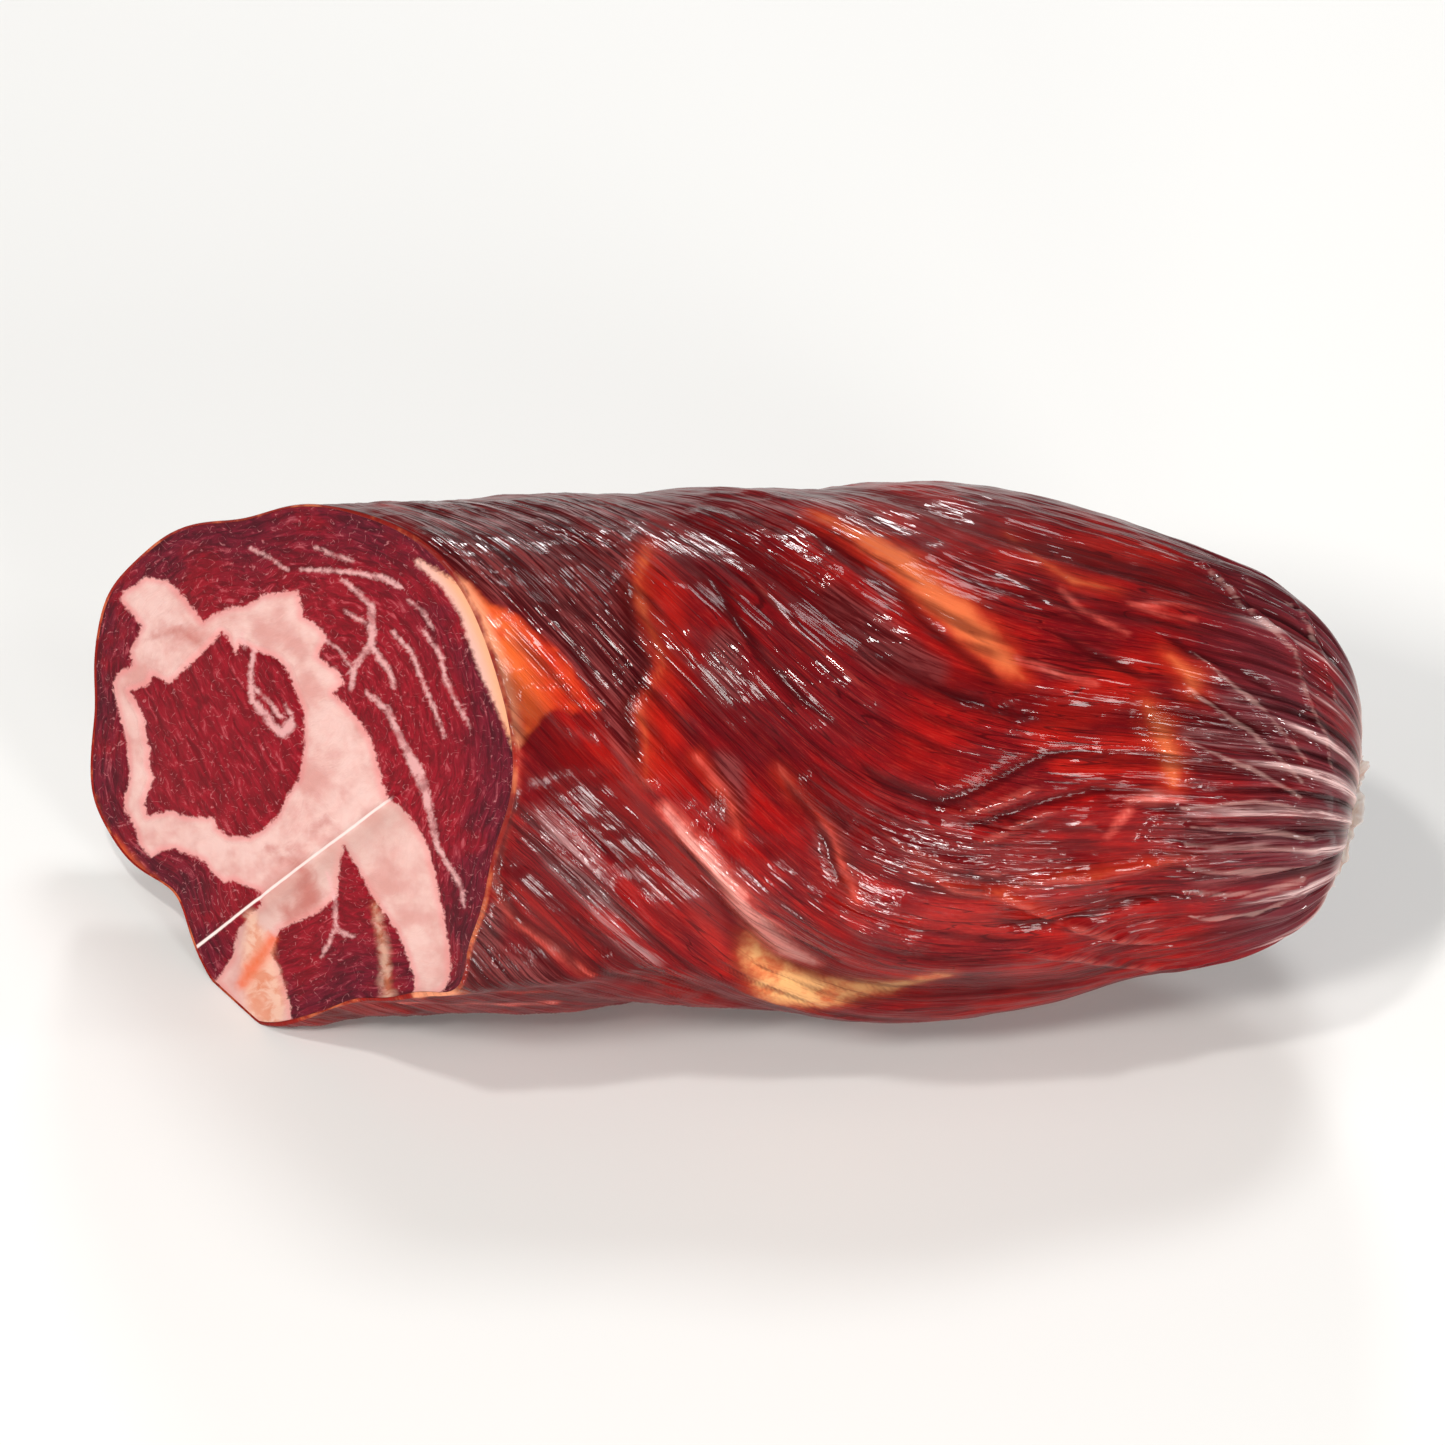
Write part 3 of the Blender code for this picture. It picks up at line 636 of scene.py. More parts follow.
def skin_places(relief):
    """The places of all corners of the outer skin, with a relief in mm laid on it."""
    sx, angle = lay[slanted], theta[slanted]
    past_cut = sx - cut_plane(*rim_place(angle))
    behind = ramp(past_cut, 0.0, 48.0)
    radius = station(sx, RADIUS) + cut_lobes(angle) * bump(past_cut, LOBE_REACH)
    radius += seam_relief(sx, angle) * (0.35 + 0.65 * behind) + belly(sx, angle)
    radius += relief[slanted] * ramp(past_cut, 0.0, 3.0)
    x[slanted] = sx
    f[slanted], u[slanted] = around(sx, radius, angle)
    along, angle = lay[ended], theta[ended]
    smooth = station(along, RADIUS)
    middle_x = station(along, X)
    radius = smooth + pleat_relief(along, angle) + belly(middle_x, angle)
    radius += seam_relief(middle_x, angle) * np.minimum(1.0, smooth / 30.0)
    radius += relief[ended] * np.minimum(1.0, smooth / 20.0)
    lean = np.radians(station(along, LEAN))
    turn = np.radians(END_TURN * ramp(along, 150.0, 190.0))
    forward, upward = radius * np.cos(np.radians(angle)), radius * np.sin(np.radians(angle))
    x[ended] = middle_x - upward * np.sin(lean) + forward * np.sin(turn)
    f[ended] = station(along, BACK) + forward * np.cos(turn)
    u[ended] = station(along, LIFT) + upward * np.cos(lean)


skin_places(np.zeros(count))
tie = skin_band >= ring
tie_radius = np.where(skin_band[tie] == skin_bands, 0.0, TIE_RADIUS)
x[tie] = TIE_X
f[tie] = TIE_MIDDLE[0] + tie_radius * np.cos(np.radians(skin_angle[tie]))
u[tie] = TIE_MIDDLE[1] + tie_radius * np.sin(np.radians(skin_angle[tie]))


# Each corner on a drum of even radius, where the strokes are laid, and along the wound fibre.
def drum_places(along, degrees):
    """Places on the drum, which is as long as the sausage."""
    angle = np.radians(degrees)
    return np.stack((along, DRUM_RADIUS * np.cos(angle), DRUM_RADIUS * np.sin(angle)), axis=-1)


drum = drum_places(lay, theta)
outer = slanted | ended
front = np.flatnonzero(outer & (f > 2.0))


def on_drum(points):
    """Points (x, u, ...) of the shown side, moved to the drum; what follows x and u is kept."""
    moved = []
    for point in points:
        near = front[np.argmin((x[front] - point[0]) ** 2 + (u[front] - point[1]) ** 2)]
        moved.append(tuple(drum[near]) + tuple(point[2:]))
    return moved


def along_fibre(fibre, first, last, half_width):
    """A stroke on the drum that follows one fibre, for the hidden side."""
    stroke = []
    for place in np.linspace(first, last, 12):
        angle = fibre
        for _ in range(4):
            angle = fibre - float(fibre_turn(np.array(place), np.array(angle)))
        waver = math.sin(place * 0.21 + fibre)
        width = half_width * (0.65 + 0.35 * math.sin(place * 0.34 + 2.0 * fibre))
        stroke.append((*drum_places(place, angle + 2.0 * waver), width))
    return stroke


def on_sheet(places):
    """Places on the drum, unrolled flat: along, and round from the shown side's middle."""
    return np.stack((places[:, 0], DRUM_RADIUS * np.arctan2(places[:, 2], places[:, 1])), axis=-1)


def outlined_reach(outline):
    """How far inside an outline on the shown side each corner lies, in mm, as the skin now stands."""
    return inside_reach(on_sheet(drum), on_sheet(np.array(on_drum(outline))))


# Strokes of the hidden side: each one's fibre in degrees, where it starts and ends, its half-width.
HIDDEN_FAT = (
    (236.0, 8.0, 62.0, 2.2),
    (302.0, 36.0, 96.0, 2.6),
    (340.0, 66.0, 118.0, 1.6),
    (402.0, 96.0, 148.0, 2.4),
)
HIDDEN_CREAM = (
    (262.0, 20.0, 74.0, 0.6),
    (322.0, 50.0, 104.0, 0.9),
    (378.0, 88.0, 150.0, 0.7),
    (430.0, 112.0, 160.0, 0.6),
)
HIDDEN_BRIGHT = (
    (248.0, 12.0, 66.0, 2.0),
    (315.0, 44.0, 100.0, 2.6),
    (390.0, 92.0, 150.0, 2.6),
    (355.0, 72.0, 120.0, 2.0),
)
HIDDEN_DUSK = (
    (278.0, 26.0, 84.0, 3.4),
    (366.0, 78.0, 128.0, 3.0),
    (416.0, 104.0, 156.0, 3.0),
)
# Painted sheen on the hidden side.
HIDDEN_SHEEN = (
    (288.0, 30.0, 90.0, 1.6),
    (384.0, 88.0, 146.0, 1.6),
)

# Relief of the casing: drawn strokes, then wrinkles along the fibres, finest where it is crumpled. The
# heights are in mm.
COARSE_RELIEF, FINE_RELIEF, WRINKLE_RELIEF = 0.30, 0.09, 0.20
SMOOTH_FOLDS, CRUMPLED_FOLDS = 0.12, 0.30
GATHERED_RELIEF, FILM_RELIEF = 0.75, 0.5
grain = drum_places(lay * 0.24, theta + fibre_turn(lay, theta))
long_grain = grain * (0.5, 1.0, 1.0)
relief = np.zeros(count)
for points, tall, width in SKIN_RELIEF:
    tapers = [-1.2 * width] + [0.0] * (len(points) - 2) + [-1.2 * width]
    stroke = [point + (taper,) for point, taper in zip(points, tapers)]
    relief += tall * bump(reach_of(drum, [on_drum(stroke)]), width)
drawn_relief = relief.copy()
coarse = noise_of(long_grain * 0.33)
medium = 0.5 - np.abs(noise_of(long_grain * 0.42 + 40.0)) * 2.0
fine = noise_of(grain * 1.2 + 90.0)
wrinkle = noise_of(drum * (0.22, 0.5, 0.5) + 7.0)
gathered = 0.5 - 2.0 * np.abs(noise_of(drum * (0.03, 0.42, 0.42) + 21.0))
gathered *= ramp(lay, 150.0, 168.0)
crumpled = ramp(reach_of(drum, [on_drum(stroke) for stroke in SKIN_CRUMPLED]), -3.5, 1.0)
hidden_crumple = ramp(noise_of(drum * 0.045 + 3.0), 0.05, 0.35) * ramp(-drum[:, 1], 4.0, 14.0)
crumpled = np.maximum(crumpled, 0.7 * hidden_crumple)
crumpled = np.maximum(crumpled, 0.45 * ramp(lay, 150.0, 166.0))
crumpled = np.maximum(crumpled, 0.5 * ramp(outlined_reach(SKIN_DUSK_OUTLINE), -1.0, 3.0))
folded = SMOOTH_FOLDS + CRUMPLED_FOLDS * crumpled
relief += COARSE_RELIEF * coarse + folded * medium
relief += FINE_RELIEF * crumpled * fine + WRINKLE_RELIEF * wrinkle
relief += GATHERED_RELIEF * gathered
gather_reach = reach_of(drum, [on_drum(stroke) for stroke in SKIN_GATHERS])
relief += FILM_RELIEF * bump(np.minimum(0.0, gather_reach), 0.5)
skin_places(relief)
keep_attribute(skin, "grain", grain)
outlines = {"fat": SKIN_FAT_OUTLINE, "dusk": SKIN_DUSK_OUTLINE}
for name, strokes, hidden in (
    ("fat", SKIN_FAT, ()),
    ("glow", SKIN_GLOW, HIDDEN_FAT),
    ("tan", SKIN_TAN, ()),
    ("cream", SKIN_CREAM, HIDDEN_CREAM),
    ("bright", SKIN_BRIGHT, HIDDEN_BRIGHT),
    ("dusk", SKIN_DUSK, HIDDEN_DUSK),
    ("sheen", SKIN_SHEEN, HIDDEN_SHEEN),
    ("gather", SKIN_GATHERS, ()),
):
    laid = [on_drum(stroke) for stroke in strokes] + [along_fibre(*stroke) for stroke in hidden]
    reach = reach_of(drum, laid)
    if name in outlines:
        reach = np.maximum(reach, outlined_reach(outlines[name]))
    keep_attribute(skin, name, reach)
downward = -np.sin(np.radians(theta) + REST_ROLL)
for name, values in (
    ("tied", ramp(lay, 155.0, 175.0)),
    ("ripe", ramp(lay, 96.0, 124.0) * (1.0 - ramp(lay, 150.0, 164.0))),
    ("wet", 1.0 - 0.8 * ramp(downward, -0.15, 0.55)),
    ("crumpled", crumpled),
    ("along", lay),
    ("drawn_relief", drawn_relief),
    ("pleat", pleat_relief(lay, theta) + 0.8 * gathered),
    ("crest", coarse * 0.4 + medium * 0.8 + 0.3 * fine),
    ("seam", seam_relief(lay, theta)),
    ("behind", np.where(outer, lay - cut_plane(*rim_place(theta)), 0.0)),
):
    keep_attribute(skin, name, values)
lay_corners(skin, x, f, u)


# Helpers for the looks: each adds nodes to a tree and gives back a socket.
def add_node(tree, kind, inputs=None, **settings):
    """A node with its settings, its socket values and the links into it."""
    made = tree.nodes.new(kind)
    for name, value in settings.items():
        setattr(made, name, value)
    plug(made, inputs or {})
    return made


def blended(tree, share, under, over):
    """The colour socket of two colours mixed by a mask."""
    sockets = {0: share, 6: under, 7: over}
    return add_node(tree, "ShaderNodeMix", sockets, data_type="RGBA", blend_type="MIX").outputs[2]


def layered(tree, colour, *layers):
    """The colour socket of tints laid over a colour one by one, each by its mask."""
    for mask, tint in layers:
        colour = blended(tree, mask, colour, tint)
    return colour


def worked(tree, operation, *values):
    """The value socket of a sum worked on numbers and sockets."""
    return add_node(tree, "ShaderNodeMath", dict(enumerate(values)), operation=operation).outputs[0]


def times(tree, value, other):
    """The value socket of two values multiplied."""
    return worked(tree, "MULTIPLY", value, other)


def ranged(tree, value, low, high, to_low=0.0, to_high=1.0):
    """The value socket of an eased step from low to high."""
    sockets = {"Value": value, "From Min": low, "From Max": high, "To Min": to_low, "To Max": to_high}
    made = add_node(tree, "ShaderNodeMapRange", sockets, interpolation_type="SMOOTHSTEP")
    return made.outputs["Result"]


def mottling(tree, coordinates, scale, detail=3.0, roughness=0.55, distortion=0.0):
    """The value socket of a soft noise at a scale."""
    sockets = {"Vector": coordinates, "Scale": scale, "Detail": detail, "Roughness": roughness}
    sockets["Distortion"] = distortion
    return add_node(tree, "ShaderNodeTexNoise", sockets, noise_dimensions="3D").outputs["Fac"]


def named(tree, name, vector=False):
    """The socket of a mesh attribute."""
    made = add_node(tree, "ShaderNodeAttribute", attribute_name=name)
    return made.outputs["Vector" if vector else "Fac"]


def bumped(tree, height, strength, distance):
    """The normal socket of a fine relief."""
    sockets = {"Strength": strength, "Distance": distance, "Height": height}
    return add_node(tree, "ShaderNodeBump", sockets).outputs["Normal"]


def make_feathered_mask():
    """Shared effect: a mask that is 1 inside a stroke, its edge frayed by a noise."""
    group = bpy.data.node_groups.new("feathered_mask", "ShaderNodeTree")
    for name, value in (("Reach", 0.0), ("Noise", 0.5), ("Fray", 1.0), ("Softness", 0.3)):
        socket = group.interface.new_socket(name, in_out="INPUT", socket_type="NodeSocketFloat")
        socket.default_value = value
    group.interface.new_socket("Mask", in_out="OUTPUT", socket_type="NodeSocketFloat")
    given = group.nodes.new("NodeGroupInput").outputs
    wobble = times(group, worked(group, "SUBTRACT", given["Noise"], 0.5), given["Fray"])
    share = worked(group, "DIVIDE", worked(group, "ADD", given["Reach"], wobble), given["Softness"])
    add_node(group, "NodeGroupOutput", {"Mask": ranged(group, share, -1.0, 1.0)})
    return group


feathered_mask = make_feathered_mask()


def masked(tree, reach, fraying, fray, softness):
    """The mask socket of a stroke with a frayed edge."""
    sockets = {"Reach": reach, "Noise": fraying, "Fray": fray, "Softness": softness}
    return add_node(tree, "ShaderNodeGroup", sockets, node_tree=feathered_mask).outputs["Mask"]


# Colours of the skin, in linear light.
DEEP_LEAN = (0.130, 0.002, 0.003, 1.0)
RED_LEAN = (0.245, 0.003, 0.003, 1.0)
DARK_LEAN = (0.095, 0.003, 0.006, 1.0)
RIPE_LEAN = (0.34, 0.008, 0.006, 1.0)
BRIGHT_LEAN = (0.35, 0.007, 0.003, 1.0)
PALE_HAIR = (0.50, 0.050, 0.030, 1.0)
DARK_HAIR = (0.045, 0.002, 0.003, 1.0)
PARTED_LINE = (0.030, 0.001, 0.002, 1.0)
DUSK_DARK = (0.036, 0.003, 0.004, 1.0)
DUSK_PALE = (0.18, 0.034, 0.034, 1.0)
GLOW_EDGE = (0.44, 0.028, 0.009, 1.0)
GLOW_HEART = (0.60, 0.14, 0.048, 1.0)
AMBER_FAT = (0.64, 0.105, 0.022, 1.0)
AMBER_FAR = (0.40, 0.014, 0.005, 1.0)
AMBER_CLOUD = (0.52, 0.040, 0.010, 1.0)
AMBER_RIM = (0.72, 0.29, 0.16, 1.0)
OCHRE_EDGE = (0.44, 0.060, 0.020, 1.0)
OCHRE_DARK = (0.54, 0.13, 0.045, 1.0)
OCHRE_FAT = (0.68, 0.34, 0.135, 1.0)
CREAM_EDGE = (0.56, 0.080, 0.060, 1.0)
CREAM_FAT = (0.75, 0.36, 0.31, 1.0)
PAINTED_SHEEN = (0.40, 0.22, 0.22, 1.0)
TIED_TINT = (0.110, 0.022, 0.030, 1.0)
VALLEY_SHADE = (0.040, 0.001, 0.002, 1.0)
FURROW_SHADE = (0.060, 0.001, 0.002, 1.0)
FOLD_SHADE = (0.035, 0.001, 0.002, 1.0)
RIDGE_HIGHLIGHT = (0.56, 0.10, 0.075, 1.0)
PLEAT_SHADE = (0.020, 0.002, 0.003, 1.0)
PLEAT_HIGHLIGHT = (0.72, 0.48, 0.46, 1.0)
EMPTY_CASING = (0.66, 0.45, 0.40, 1.0)
GATHER_FILM_GLINT = (0.60, 0.36, 0.32, 1.0)
LIP_MEAT = (0.26, 0.016, 0.010, 1.0)
LIP_FAT = (0.62, 0.15, 0.06, 1.0)

skin_look, tree, surface = new_look("cased_meat")
placed = add_node(tree, "ShaderNodeTexCoord").outputs["Object"]
stretch = {0: named(tree, "grain", vector=True), 1: (0.42, 1.0, 1.0)}
drawn_out = add_node(tree, "ShaderNodeVectorMath", stretch, operation="MULTIPLY").outputs[0]
streaks = mottling(tree, drawn_out, 0.42, 4.0, 0.58, 0.5)
threads = mottling(tree, drawn_out, 1.10, 3.0, 0.58, 1.0)
clouds = mottling(tree, placed, 50.0, 4.0, 0.55)
blotches = mottling(tree, placed, 190.0, 4.0, 0.6)

# Lean seen through the casing, in streaks and clouds, ripest towards the tie.
colour = blended(tree, ranged(tree, streaks, 0.38, 0.62), DEEP_LEAN, RED_LEAN)
ripe = times(tree, named(tree, "ripe"), ranged(tree, clouds, 0.36, 0.58, 0.30, 0.05))
bright = masked(tree, named(tree, "bright"), streaks, 4.0, 2.0)
hairs = mottling(tree, drawn_out, 2.2, 3.0, 0.6, 1.4)
parting = mottling(tree, drawn_out, 0.30, 2.0, 0.5, 1.6)
parting = worked(tree, "ABSOLUTE", worked(tree, "SUBTRACT", parting, 0.5))
parting = ranged(tree, parting, 0.004, 0.022, 0.7, 0.0)
parting = times(tree, parting, ranged(tree, clouds, 0.36, 0.52))
colour = layered(
    tree,
    colour,
    (ranged(tree, clouds, 0.42, 0.60, 0.0, 0.75), DARK_LEAN),
    (ripe, RIPE_LEAN),
    (times(tree, bright, 0.7), BRIGHT_LEAN),
    (ranged(tree, hairs, 0.52, 0.66, 0.0, 0.16), PALE_HAIR),
    (ranged(tree, hairs, 0.34, 0.47, 0.26, 0.0), DARK_HAIR),
    (parting, PARTED_LINE),
)

# Dusky muscle, and glowing seams of fat between the muscles.
dusk = masked(tree, named(tree, "dusk"), streaks, 3.0, 1.4)
dusk_colour = blended(tree, ranged(tree, threads, 0.42, 0.62), DUSK_DARK, DUSK_PALE)
glow = masked(tree, named(tree, "glow"), blotches, 2.6, 2.2)
glow_heart = worked(tree, "SUBTRACT", named(tree, "glow"), 1.3)
glow_heart = masked(tree, glow_heart, blotches, 2.6, 1.4)
colour = layered(
    tree,
    colour,
    (times(tree, dusk, 0.85), dusk_colour),
    (times(tree, glow, 0.75), GLOW_EDGE),
    (times(tree, glow_heart, 0.8), GLOW_HEART),
)

# Amber fat behind the cut, ochre fat below, and cream fat along the ridges.
behind_cut = named(tree, "behind")
amber = masked(tree, named(tree, "fat"), blotches, 2.6, 0.6)
amber_colour = blended(tree, ranged(tree, behind_cut, 1.5, 9.0), AMBER_FAT, AMBER_FAR)
amber_clouds = ranged(tree, blotches, 0.42, 0.64, 0.0, 0.8)
amber_colour = blended(tree, amber_clouds, amber_colour, AMBER_CLOUD)
amber_rim = ranged(tree, behind_cut, 0.2, 2.4, 0.85, 0.0)
amber_colour = blended(tree, amber_rim, amber_colour, AMBER_RIM)
ochre_edge = masked(tree, worked(tree, "ADD", named(tree, "tan"), 1.3), blotches, 3.4, 2.2)
ochre = masked(tree, named(tree, "tan"), blotches, 3.4, 1.6)
ochre_colour = blended(tree, ranged(tree, blotches, 0.36, 0.58), OCHRE_DARK, OCHRE_FAT)
cream = masked(tree, worked(tree, "ADD", named(tree, "cream"), 0.7), threads, 2.0, 0.8)
cream = times(tree, cream, ranged(tree, blotches, 0.36, 0.56, 0.25, 0.75))
cream_heart = worked(tree, "SUBTRACT", named(tree, "cream"), 0.45)
cream_heart = masked(tree, cream_heart, blotches, 2.6, 0.9)
cream_heart = times(tree, cream_heart, ranged(tree, threads, 0.36, 0.54, 0.35, 0.85))
colour = layered(
    tree,
    colour,
    (times(tree, amber, 0.95), amber_colour),
    (times(tree, ochre_edge, 0.65), OCHRE_EDGE),
    (ochre, ochre_colour),
    (cream, CREAM_EDGE),
    (cream_heart, CREAM_FAT),
)

# The casing: a painted sheen, painted shade in every valley, furrow, fold and groove, and painted highlights
# along ridges, pleat crests and gathers.
# Painted sheen, broken into fine streaks.
sheen = masked(tree, named(tree, "sheen"), streaks, 4.0, 2.0)
sheen = times(tree, sheen, ranged(tree, threads, 0.46, 0.62))
tied = named(tree, "tied")
tied_tint = times(tree, tied, ranged(tree, clouds, 0.28, 0.52))
crests = named(tree, "crest")
furrow = ranged(tree, named(tree, "seam"), -1.0, -0.1, 0.55, 0.0)
fold_line = ranged(tree, threads, 0.33, 0.43, 0.42, 0.0)
fold_line = times(tree, fold_line, ranged(tree, crests, -0.2, 0.4, 1.0, 0.2))
relief_drawn = named(tree, "drawn_relief")
# Painted highlight along the raised ridges of the drawn relief.
ridge_highlight = ranged(tree, relief_drawn, 0.25, 0.70)
ridge_highlight = times(tree, ridge_highlight, ranged(tree, threads, 0.38, 0.56, 0.0, 0.30))
groove = ranged(tree, relief_drawn, -0.45, -0.08, 0.7, 0.0)
pleats = named(tree, "pleat")
# Painted shade in the pleats' valleys, and a painted highlight on their crests.
pleat_valley = times(tree, ranged(tree, pleats, -0.6, 0.15, 0.85, 0.0), tied)
pleat_highlight = times(tree, ranged(tree, pleats, 0.50, 1.0), tied)
pleat_highlight = times(tree, pleat_highlight, ranged(tree, threads, 0.38, 0.54, 0.2, 0.85))
empty = ranged(tree, named(tree, "along"), 181.0, 187.5)
empty = times(tree, empty, ranged(tree, pleats, -0.3, 0.6, 0.35, 0.85))
# The gathers' pale film, with a painted highlight on its crest.
film_glint = masked(tree, named(tree, "gather"), threads, 1.2, 0.25)
lip = ranged(tree, behind_cut, 0.10, 0.70, 0.6, 0.0)
lip = times(tree, lip, worked(tree, "SUBTRACT", 1.0, amber))
lip_colour = blended(tree, ranged(tree, blotches, 0.48, 0.66), LIP_MEAT, LIP_FAT)
colour = layered(
    tree,
    colour,
    (times(tree, sheen, 0.6), PAINTED_SHEEN),
    (times(tree, tied_tint, 0.75), TIED_TINT),
    (ranged(tree, crests, -0.65, 0.10, 0.60, 0.0), VALLEY_SHADE),
    (furrow, FURROW_SHADE),
    (fold_line, FOLD_SHADE),
    (ridge_highlight, RIDGE_HIGHLIGHT),
    (groove, FOLD_SHADE),
    (pleat_valley, PLEAT_SHADE),
    (pleat_highlight, PLEAT_HIGHLIGHT),
    (empty, EMPTY_CASING),
    (times(tree, film_glint, 0.28), GATHER_FILM_GLINT),
    (lip, lip_colour),
)

# Gloss: wet where the casing is crumpled or stands up, calmer where it is drawn smooth.
gloss = ranged(tree, named(tree, "bright"), -1.0, 1.5)
gloss = worked(tree, "MAXIMUM", named(tree, "crumpled"), gloss)
gloss = worked(tree, "MAXIMUM", gloss, ranged(tree, relief_drawn, 0.1, 0.4))
gloss = times(tree, ranged(tree, gloss, 0.0, 1.0, 0.42, 1.0), named(tree, "wet"))
furrows = mottling(tree, drawn_out, 0.60, 1.0, 0.4, 0.8)
wrinkles = mottling(tree, drawn_out, 1.3, 1.0, 0.4, 0.8)
dents = mottling(tree, placed, 300.0, 1.0, 0.4)
height = worked(tree, "ADD", furrows, times(tree, wrinkles, 0.35))
height = worked(tree, "ADD", height, times(tree, dents, 0.30))
height = times(tree, height, ranged(tree, named(tree, "crumpled"), 0.0, 1.0, 0.26, 1.0))
folded_normal = bumped(tree, height, 0.8, 0.0011)
plug(surface, {
    "Base Color": colour,
    "Roughness": 0.35,
    "IOR": 1.36,
    "Specular IOR Level": 0.06,
    "Coat Weight": gloss,
    "Coat IOR": 1.31,
    "Coat Roughness": 0.05,
    "Subsurface Weight": 0.04,
    "Subsurface Radius": (0.0030, 0.0006, 0.0004),
    "Subsurface Scale": 1.0,
    "Normal": folded_normal,
    "Coat Normal": folded_normal,
})
skin.data.materials.append(skin_look)
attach(skin, "root")
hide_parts("half_paio")


# The cut face: raw-red cured lean in several muscles, with fat between them and fine fat within, wiped
# smooth by a knife in two strokes that met in a crease. It lies within the casing's cut edge.
FACE_COLUMNS = 400
FACE_FRONT_RINGS = 196
FACE_INSET = 0.42
# The face stands out as a low dome, with so steep a fall below the crease.
FACE_DOME, FACE_RADIUS = 0.7, 37.0
FACE_FALL = 0.055
# The rings behind the face: each one's inset from its rim and its depth; the last is the middle.
FACE_BACK_RINGS = ((0.0, 0.5), (0.1, 1.4), (1.0, 1.8), (18.0, 1.9), (37.0, 1.9))
# What the knife laid bare, seen from the side: outlines and strokes as (x, u, half-width) in mm.
FACE_FAT_OUTLINE = (
    (5.8, 21.9), (4.9, 23.0), (5.8, 24.0), (9.1, 26.1), (12.5, 25.5), (15.6, 22.5), (17.9, 19.6),
    (19.4, 20.6), (22.0, 21.6), (24.6, 21.9), (26.6, 23.2), (29.7, 23.8), (32.0, 24.0), (32.8, 20.2),
    (35.3, 18.6), (36.4, 17.1), (35.1, 14.5), (37.9, 12.4), (38.9, 10.7), (37.4, 9.2), (39.9, 6.6),
    (41.5, 5.0), (43.2, 1.9), (43.9, -1.0), (44.9, -5.5), (47.2, -7.3), (49.1, -9.5), (50.7, -12.7),
    (51.6, -17.7), (52.7, -24.8), (53.3, -31.5), (52.6, -33.4), (50.4, -34.4), (48.7, -34.1), (47.5, -30.1),
    (45.4, -24.8), (42.2, -20.0), (39.9, -14.8), (38.7, -12.7), (38.0, -15.7), (37.4, -19.6), (35.3, -22.0),
    (32.0, -23.5), (28.8, -24.9), (27.2, -28.5), (28.1, -30.1), (29.1, -33.4), (30.1, -36.1), (30.7, -38.4),
    (26.5, -39.5), (23.3, -37.2), (19.2, -32.5), (21.6, -28.9), (22.6, -24.9), (24.5, -22.9), (26.4, -21.3),
    (26.4, -19.6), (24.2, -18.7), (22.6, -18.0), (20.9, -18.1), (19.0, -16.8), (17.9, -15.1), (16.0, -14.4),
    (13.4, -13.4), (11.2, -13.8), (9.8, -14.8), (8.1, -13.1), (7.1, -9.8), (5.5, -7.5), (5.9, -5.5),
    (6.6, -3.0), (6.3, 1.3), (5.3, 5.2), (4.8, 7.5), (4.0, 10.4), (4.8, 12.1), (7.1, 13.4),
    (6.6, 15.4), (8.6, 18.9), (7.1, 20.6),
)
FACE_EYE_OUTLINE = (
    (20.7, 18.0), (18.9, 16.0), (16.8, 14.1), (14.3, 11.7), (12.7, 10.5), (10.2, 11.8), (9.6, 10.4),
    (6.8, 9.5), (7.8, 7.8), (8.9, 5.8), (9.1, 3.3), (9.8, 0.9), (9.6, -1.2), (10.4, -3.0),
    (9.4, -5.3), (8.8, -6.6), (9.4, -8.6), (12.7, -7.8), (15.4, -8.6), (19.7, -8.8), (20.0, -10.2),
    (21.7, -11.4), (24.8, -11.5), (26.9, -10.5), (29.1, -8.5), (30.5, -5.8), (32.4, -3.0), (33.0, 0.9),
    (33.0, 6.5), (31.8, 9.5), (30.5, 12.7), (29.2, 14.1), (26.1, 15.3), (23.5, 16.3), (22.8, 14.7),
    (21.5, 17.3),
)
